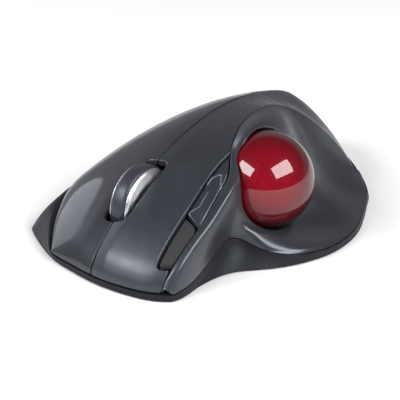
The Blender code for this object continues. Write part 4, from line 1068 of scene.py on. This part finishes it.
def case_shell(per_row=9, levels=20):
    """Bottom case with its rounded rim and foot; returns verts, faces."""
    count = len(case_rows) * per_row
    columns = []
    for i in range(count):
        t = i / per_row
        a = foot_line(t - 0.05)
        b = foot_line(t + 0.05)
        d = Vector((b.x - a.x, b.y - a.y)).normalized()
        inward = Vector((-d.y, d.x, 0.0))
        top = rim_point(t)
        top.z -= FRONT_DROP * smooth((3.1 - top.z) / 0.35)
        low = foot_line(t)
        wall = []
        for k in range(levels + 1):
            v = k / levels
            w = side_shape(t, v)
            wall.append(Vector((top.x + (low.x - top.x) * w, top.y + (low.y - top.y) * w,
                                top.z + (FLOOR_LOW - top.z) * v)))
        inner = wall[0] + inward * RIM_WIDTH
        length = max((wall[1] - wall[0]).length, 1e-3)
        first = wall[0].lerp(wall[1], min(RIM_SOFTNESS / length, 0.9))
        rounded_rim = [soft_corner(wall[0] + inward * RIM_SOFTNESS, wall[0], first, s)
                       for s in spread(0, 1, 4)]
        length = max((wall[-1] - wall[-2]).length, 1e-3)
        last = wall[-1].lerp(wall[-2], min(FOOT_SOFTNESS / length, 0.9))
        rounded_foot = [soft_corner(last, wall[-1], wall[-1] + inward * FOOT_SOFTNESS, s)
                        for s in spread(0, 1, 4)]
        q = inward * 1.9
        deep = wall[-1]
        x = min(inner.x, deep.x + q.x) if q.x < 0 else max(inner.x, deep.x + q.x)
        y = min(inner.y, deep.y + q.y) if q.y < 0 else max(inner.y, deep.y + q.y)
        columns.append([Vector((x, y, FLOOR_TOP)), inner] + rounded_rim + wall[1:-1]
                       + rounded_foot)
    width = len(columns[0])
    faces = []
    for i in range(count):
        a, b = i * width, (i + 1) % count * width
        faces += [[a + k, b + k, b + k + 1, a + k + 1] for k in range(width - 1)]
    faces.append([i * width for i in range(count)])
    faces.append([i * width + width - 1 for i in reversed(range(count))])
    return [p for column in columns for p in column], faces


case = add("bottom_case_skin", *case_shell(), skirt)
# room inside the case, in plan
well = [(right_edge(y), y) for y in range(-56, 62, 3)]
well += [(x, front_edge(x) - 1.0) for x in range(14, -25, -2)]
well += [(-30.0, 20.0), (-26.0, -30.0), (-33.5, rear_edge(-33.5) + 1.0)]
well += [(x, rear_edge(x)) for x in range(-30, 21, 2)]
well = offset_loop(resample(well, 1.5), -SEAM_GAP)
boolean(case, prism(well, FLOOR_TOP + 0.25, 45.0))
BELOW = 0.2   # cuts start under the floor and end above it
ABOVE = 3.6
UP = (0, 0, 1)
DOOR = (-6.2, 27.6, -44.8, 10.3)   # x0, x1, y0, y1
DOOR_GAP = 0.3
# opening for the power slider, in plan
SLIDER = [(9.7, 15.0), (18.3, 15.0), (18.3, 19.0), (9.7, 19.0)]
SCREWS = [(-15.0, -57.0), (15.0, -56.0), (-33.0, -20.0)]
# radius and height
SCREW_POST = [(0, 1.8), (3.9, 1.8), (3.9, 5.5), (0, 5.5)]
SCREW_HOLE = [(0, 0.2), (3.25, 0.2), (3.0, 0.7), (3.0, 3.2), (1.4, 3.2), (1.4, 6.2), (0, 6.2)]
# centre and half sizes
FEET = [(-8.0, 57.5, 12.0, 3.2), (28.0, 43.0, 4.5, 4.5), (-48.0, -3.0, 3.4, 9.0),
        (-2.0, -63.0, 10.0, 3.0), (31.6, 3.0, 2.2, 8.0)]
FOOT_GAP = 0.25
opening = rounded(DOOR[0] - DOOR_GAP, DOOR[1] + DOOR_GAP, DOOR[2] - DOOR_GAP,
                  DOOR[3] + DOOR_GAP, 1.2)
boolean(case, prism(opening, BELOW, ABOVE))
boolean(case, prism(SLIDER, BELOW, ABOVE))
for x, y in SCREWS:
    boolean(case, revolve(SCREW_POST, (x, y, 0), UP, 40), "UNION")
for x, y in SCREWS:
    boolean(case, revolve(SCREW_HOLE, (x, y, 0), UP, 40))
for x, y, hx, hy in FEET:
    r = min(hx, hy) + FOOT_GAP
    pocket = rounded(x - hx - FOOT_GAP, x + hx + FOOT_GAP, y - hy - FOOT_GAP, y + hy + FOOT_GAP,
                     r * 0.98, 14)
    boolean(case, prism(pocket, BELOW, 1.15))
settle(case, 35)
stands_for(case, "bottom_case", "base")

# ---- ball
whole = ball_profile(BALL_RADIUS, 63) + [(0.0, BALL_RADIUS)]
ball = add("ball_skin", *revolve(whole, BALL_CENTRE, BALL_FACE, 128), crimson)
stands_for(ball, "ball", "ball")

# ---- scroll wheel
TYRE_RADIUS = 13.5
TYRE_HALF = 2.8
AXLE = (1, 0, 0)
tread = soft_profile([(TYRE_RADIUS - 0.75, -TYRE_HALF), (TYRE_RADIUS - 0.12, -1.9),
                      (TYRE_RADIUS, -0.6), (TYRE_RADIUS, 0.6), (TYRE_RADIUS - 0.12, 1.9),
                      (TYRE_RADIUS - 0.75, TYRE_HALF), (10.1, TYRE_HALF),
                      (10.1, -TYRE_HALF)], 0.55)
ring_left = soft_profile([(5.0, -4.3), (9.4, -4.75), (12.2, -4.0), (12.75, -3.3),
                          (12.75, -2.95), (5.0, -2.95)], 1.6, 8)
ring_right = soft_profile([(9.0, 2.95), (12.6, 2.95), (12.6, 3.2), (11.4, 3.6), (9.0, 3.6)],
                          0.15, 3)
for node, profile, look, angle, slot in (
        ("wheel_tyre", tread, rubber, 50, "wheel_rubber"),
        ("wheel_ring_left", ring_left, chrome, 55, "bright_ring"),
        ("wheel_ring_right", ring_right, chrome, 40, "bright_ring")):
    turned = revolve(profile, WHEEL_CENTRE, AXLE, 120)
    stands_for(add(node + "_skin", *turned, look, angle=angle), node, "wheel")

# ---- floor and room
mesh = bpy.data.meshes.new("floor")
reach = 6.0          # metres
mesh.from_pydata([(-reach, -reach, 0), (reach, -reach, 0), (reach, reach, 0),
                  (-reach, reach, 0)], [], [(0, 1, 2, 3)])
floor = bpy.data.objects.new("floor", mesh)
scene.collection.objects.link(floor)
paper, tree, shader, where = shader_base("pale_paper")
tone = noise(tree, where, 6.0, 2.0)
white = blend(tree, span(tree, tone, 0.0, 1.0), (0.90, 0.90, 0.90), (0.92, 0.92, 0.92))
feed(tree, shader, {"Base Color": white, "Roughness": span(tree, tone, 0.55, 0.65),
                    "Specular IOR Level": 0.25})
bump(tree, shader, noise(tree, where, 900.0), 0.00002, 0.3)
mesh.materials.append(paper)


def lamp(name, azimuth, elevation, width, height, radiance):
    """Softbox placed by compass angle from +Y towards +X, aimed at the part."""
    a = math.radians(azimuth)
    e = math.radians(elevation)
    way = Vector((math.sin(a) * math.cos(e), math.cos(a) * math.cos(e), math.sin(e)))
    light = bpy.data.lights.new(name, "AREA")
    light.shape = "RECTANGLE"
    light.size = width
    light.size_y = height
    light.energy = radiance * width * height * math.pi
    obj = bpy.data.objects.new(name, light)
    obj.location = way * LAMP_DISTANCE
    obj.rotation_euler = way.to_track_quat("Z", "Y").to_euler()
    scene.collection.objects.link(obj)
    return light


LAMP_DISTANCE = 1.2  # metres
lamp("softbox_side", -85.0, 39.5, 1.02, 0.58, 10.0)
lamp("softbox_front", 27.0, 37.0, 0.87, 0.42, 11.5)
fill = lamp("softbox_right", 94.0, 18.0, 0.80, 0.40, 2.3)
fill.shape = "ELLIPSE"
fill.color = (0.90, 0.91, 1.0)

world = bpy.data.worlds.new("studio")
scene.world = world
world.use_nodes = True
tree = world.node_tree
where = make(tree, "TexCoord", {}).outputs["Generated"]
split = make(tree, "SeparateXYZ", {0: where})


def world_math(operation, a, b):
    """Arithmetic on two numbers or sockets of the world's node tree."""
    node = make(tree, "Math", {0: a, 1: b})
    node.operation = operation
    return node.outputs[0]


# pale backdrop behind the part, darker room elsewhere
ROOM_LEVEL = 0.10
BACKDROP_LEVEL = 0.20
ahead = world_math("MULTIPLY", split.outputs["Y"], -1.0)
side = world_math("MULTIPLY", split.outputs["X"], 0.35)
behind = span(tree, world_math("ADD", ahead, side), 0.0, 1.0, 0.15, 0.55)
top_line = world_math("ADD", world_math("MULTIPLY", split.outputs["X"], 0.45), 0.42)
under = span(tree, world_math("SUBTRACT", top_line, split.outputs["Z"]), 0.0, 1.0, -0.05, 0.05)
back_level = world_math("MULTIPLY", world_math("MULTIPLY", behind, under), BACKDROP_LEVEL)
level = world_math("ADD", back_level, ROOM_LEVEL)
feed(tree, tree.nodes["Background"], {"Color": (0.97, 0.98, 1.0, 1.0), "Strength": level})

# metres
CAMERA_AT = (-0.32955, 0.48565, 0.2792)
LOOK_AT = Vector((0.00835, 0.00305, 0.0045))
camera_data = bpy.data.cameras.new("camera")
camera_data.lens = 164.3
camera_data.sensor_width = 36.0
camera_data.clip_end = 50.0
camera = bpy.data.objects.new("camera", camera_data)
scene.collection.objects.link(camera)
camera.location = CAMERA_AT
camera.rotation_euler = (LOOK_AT - camera.location).to_track_quat("-Z", "Y").to_euler()
scene.camera = camera
scene.view_settings.view_transform = "Standard"
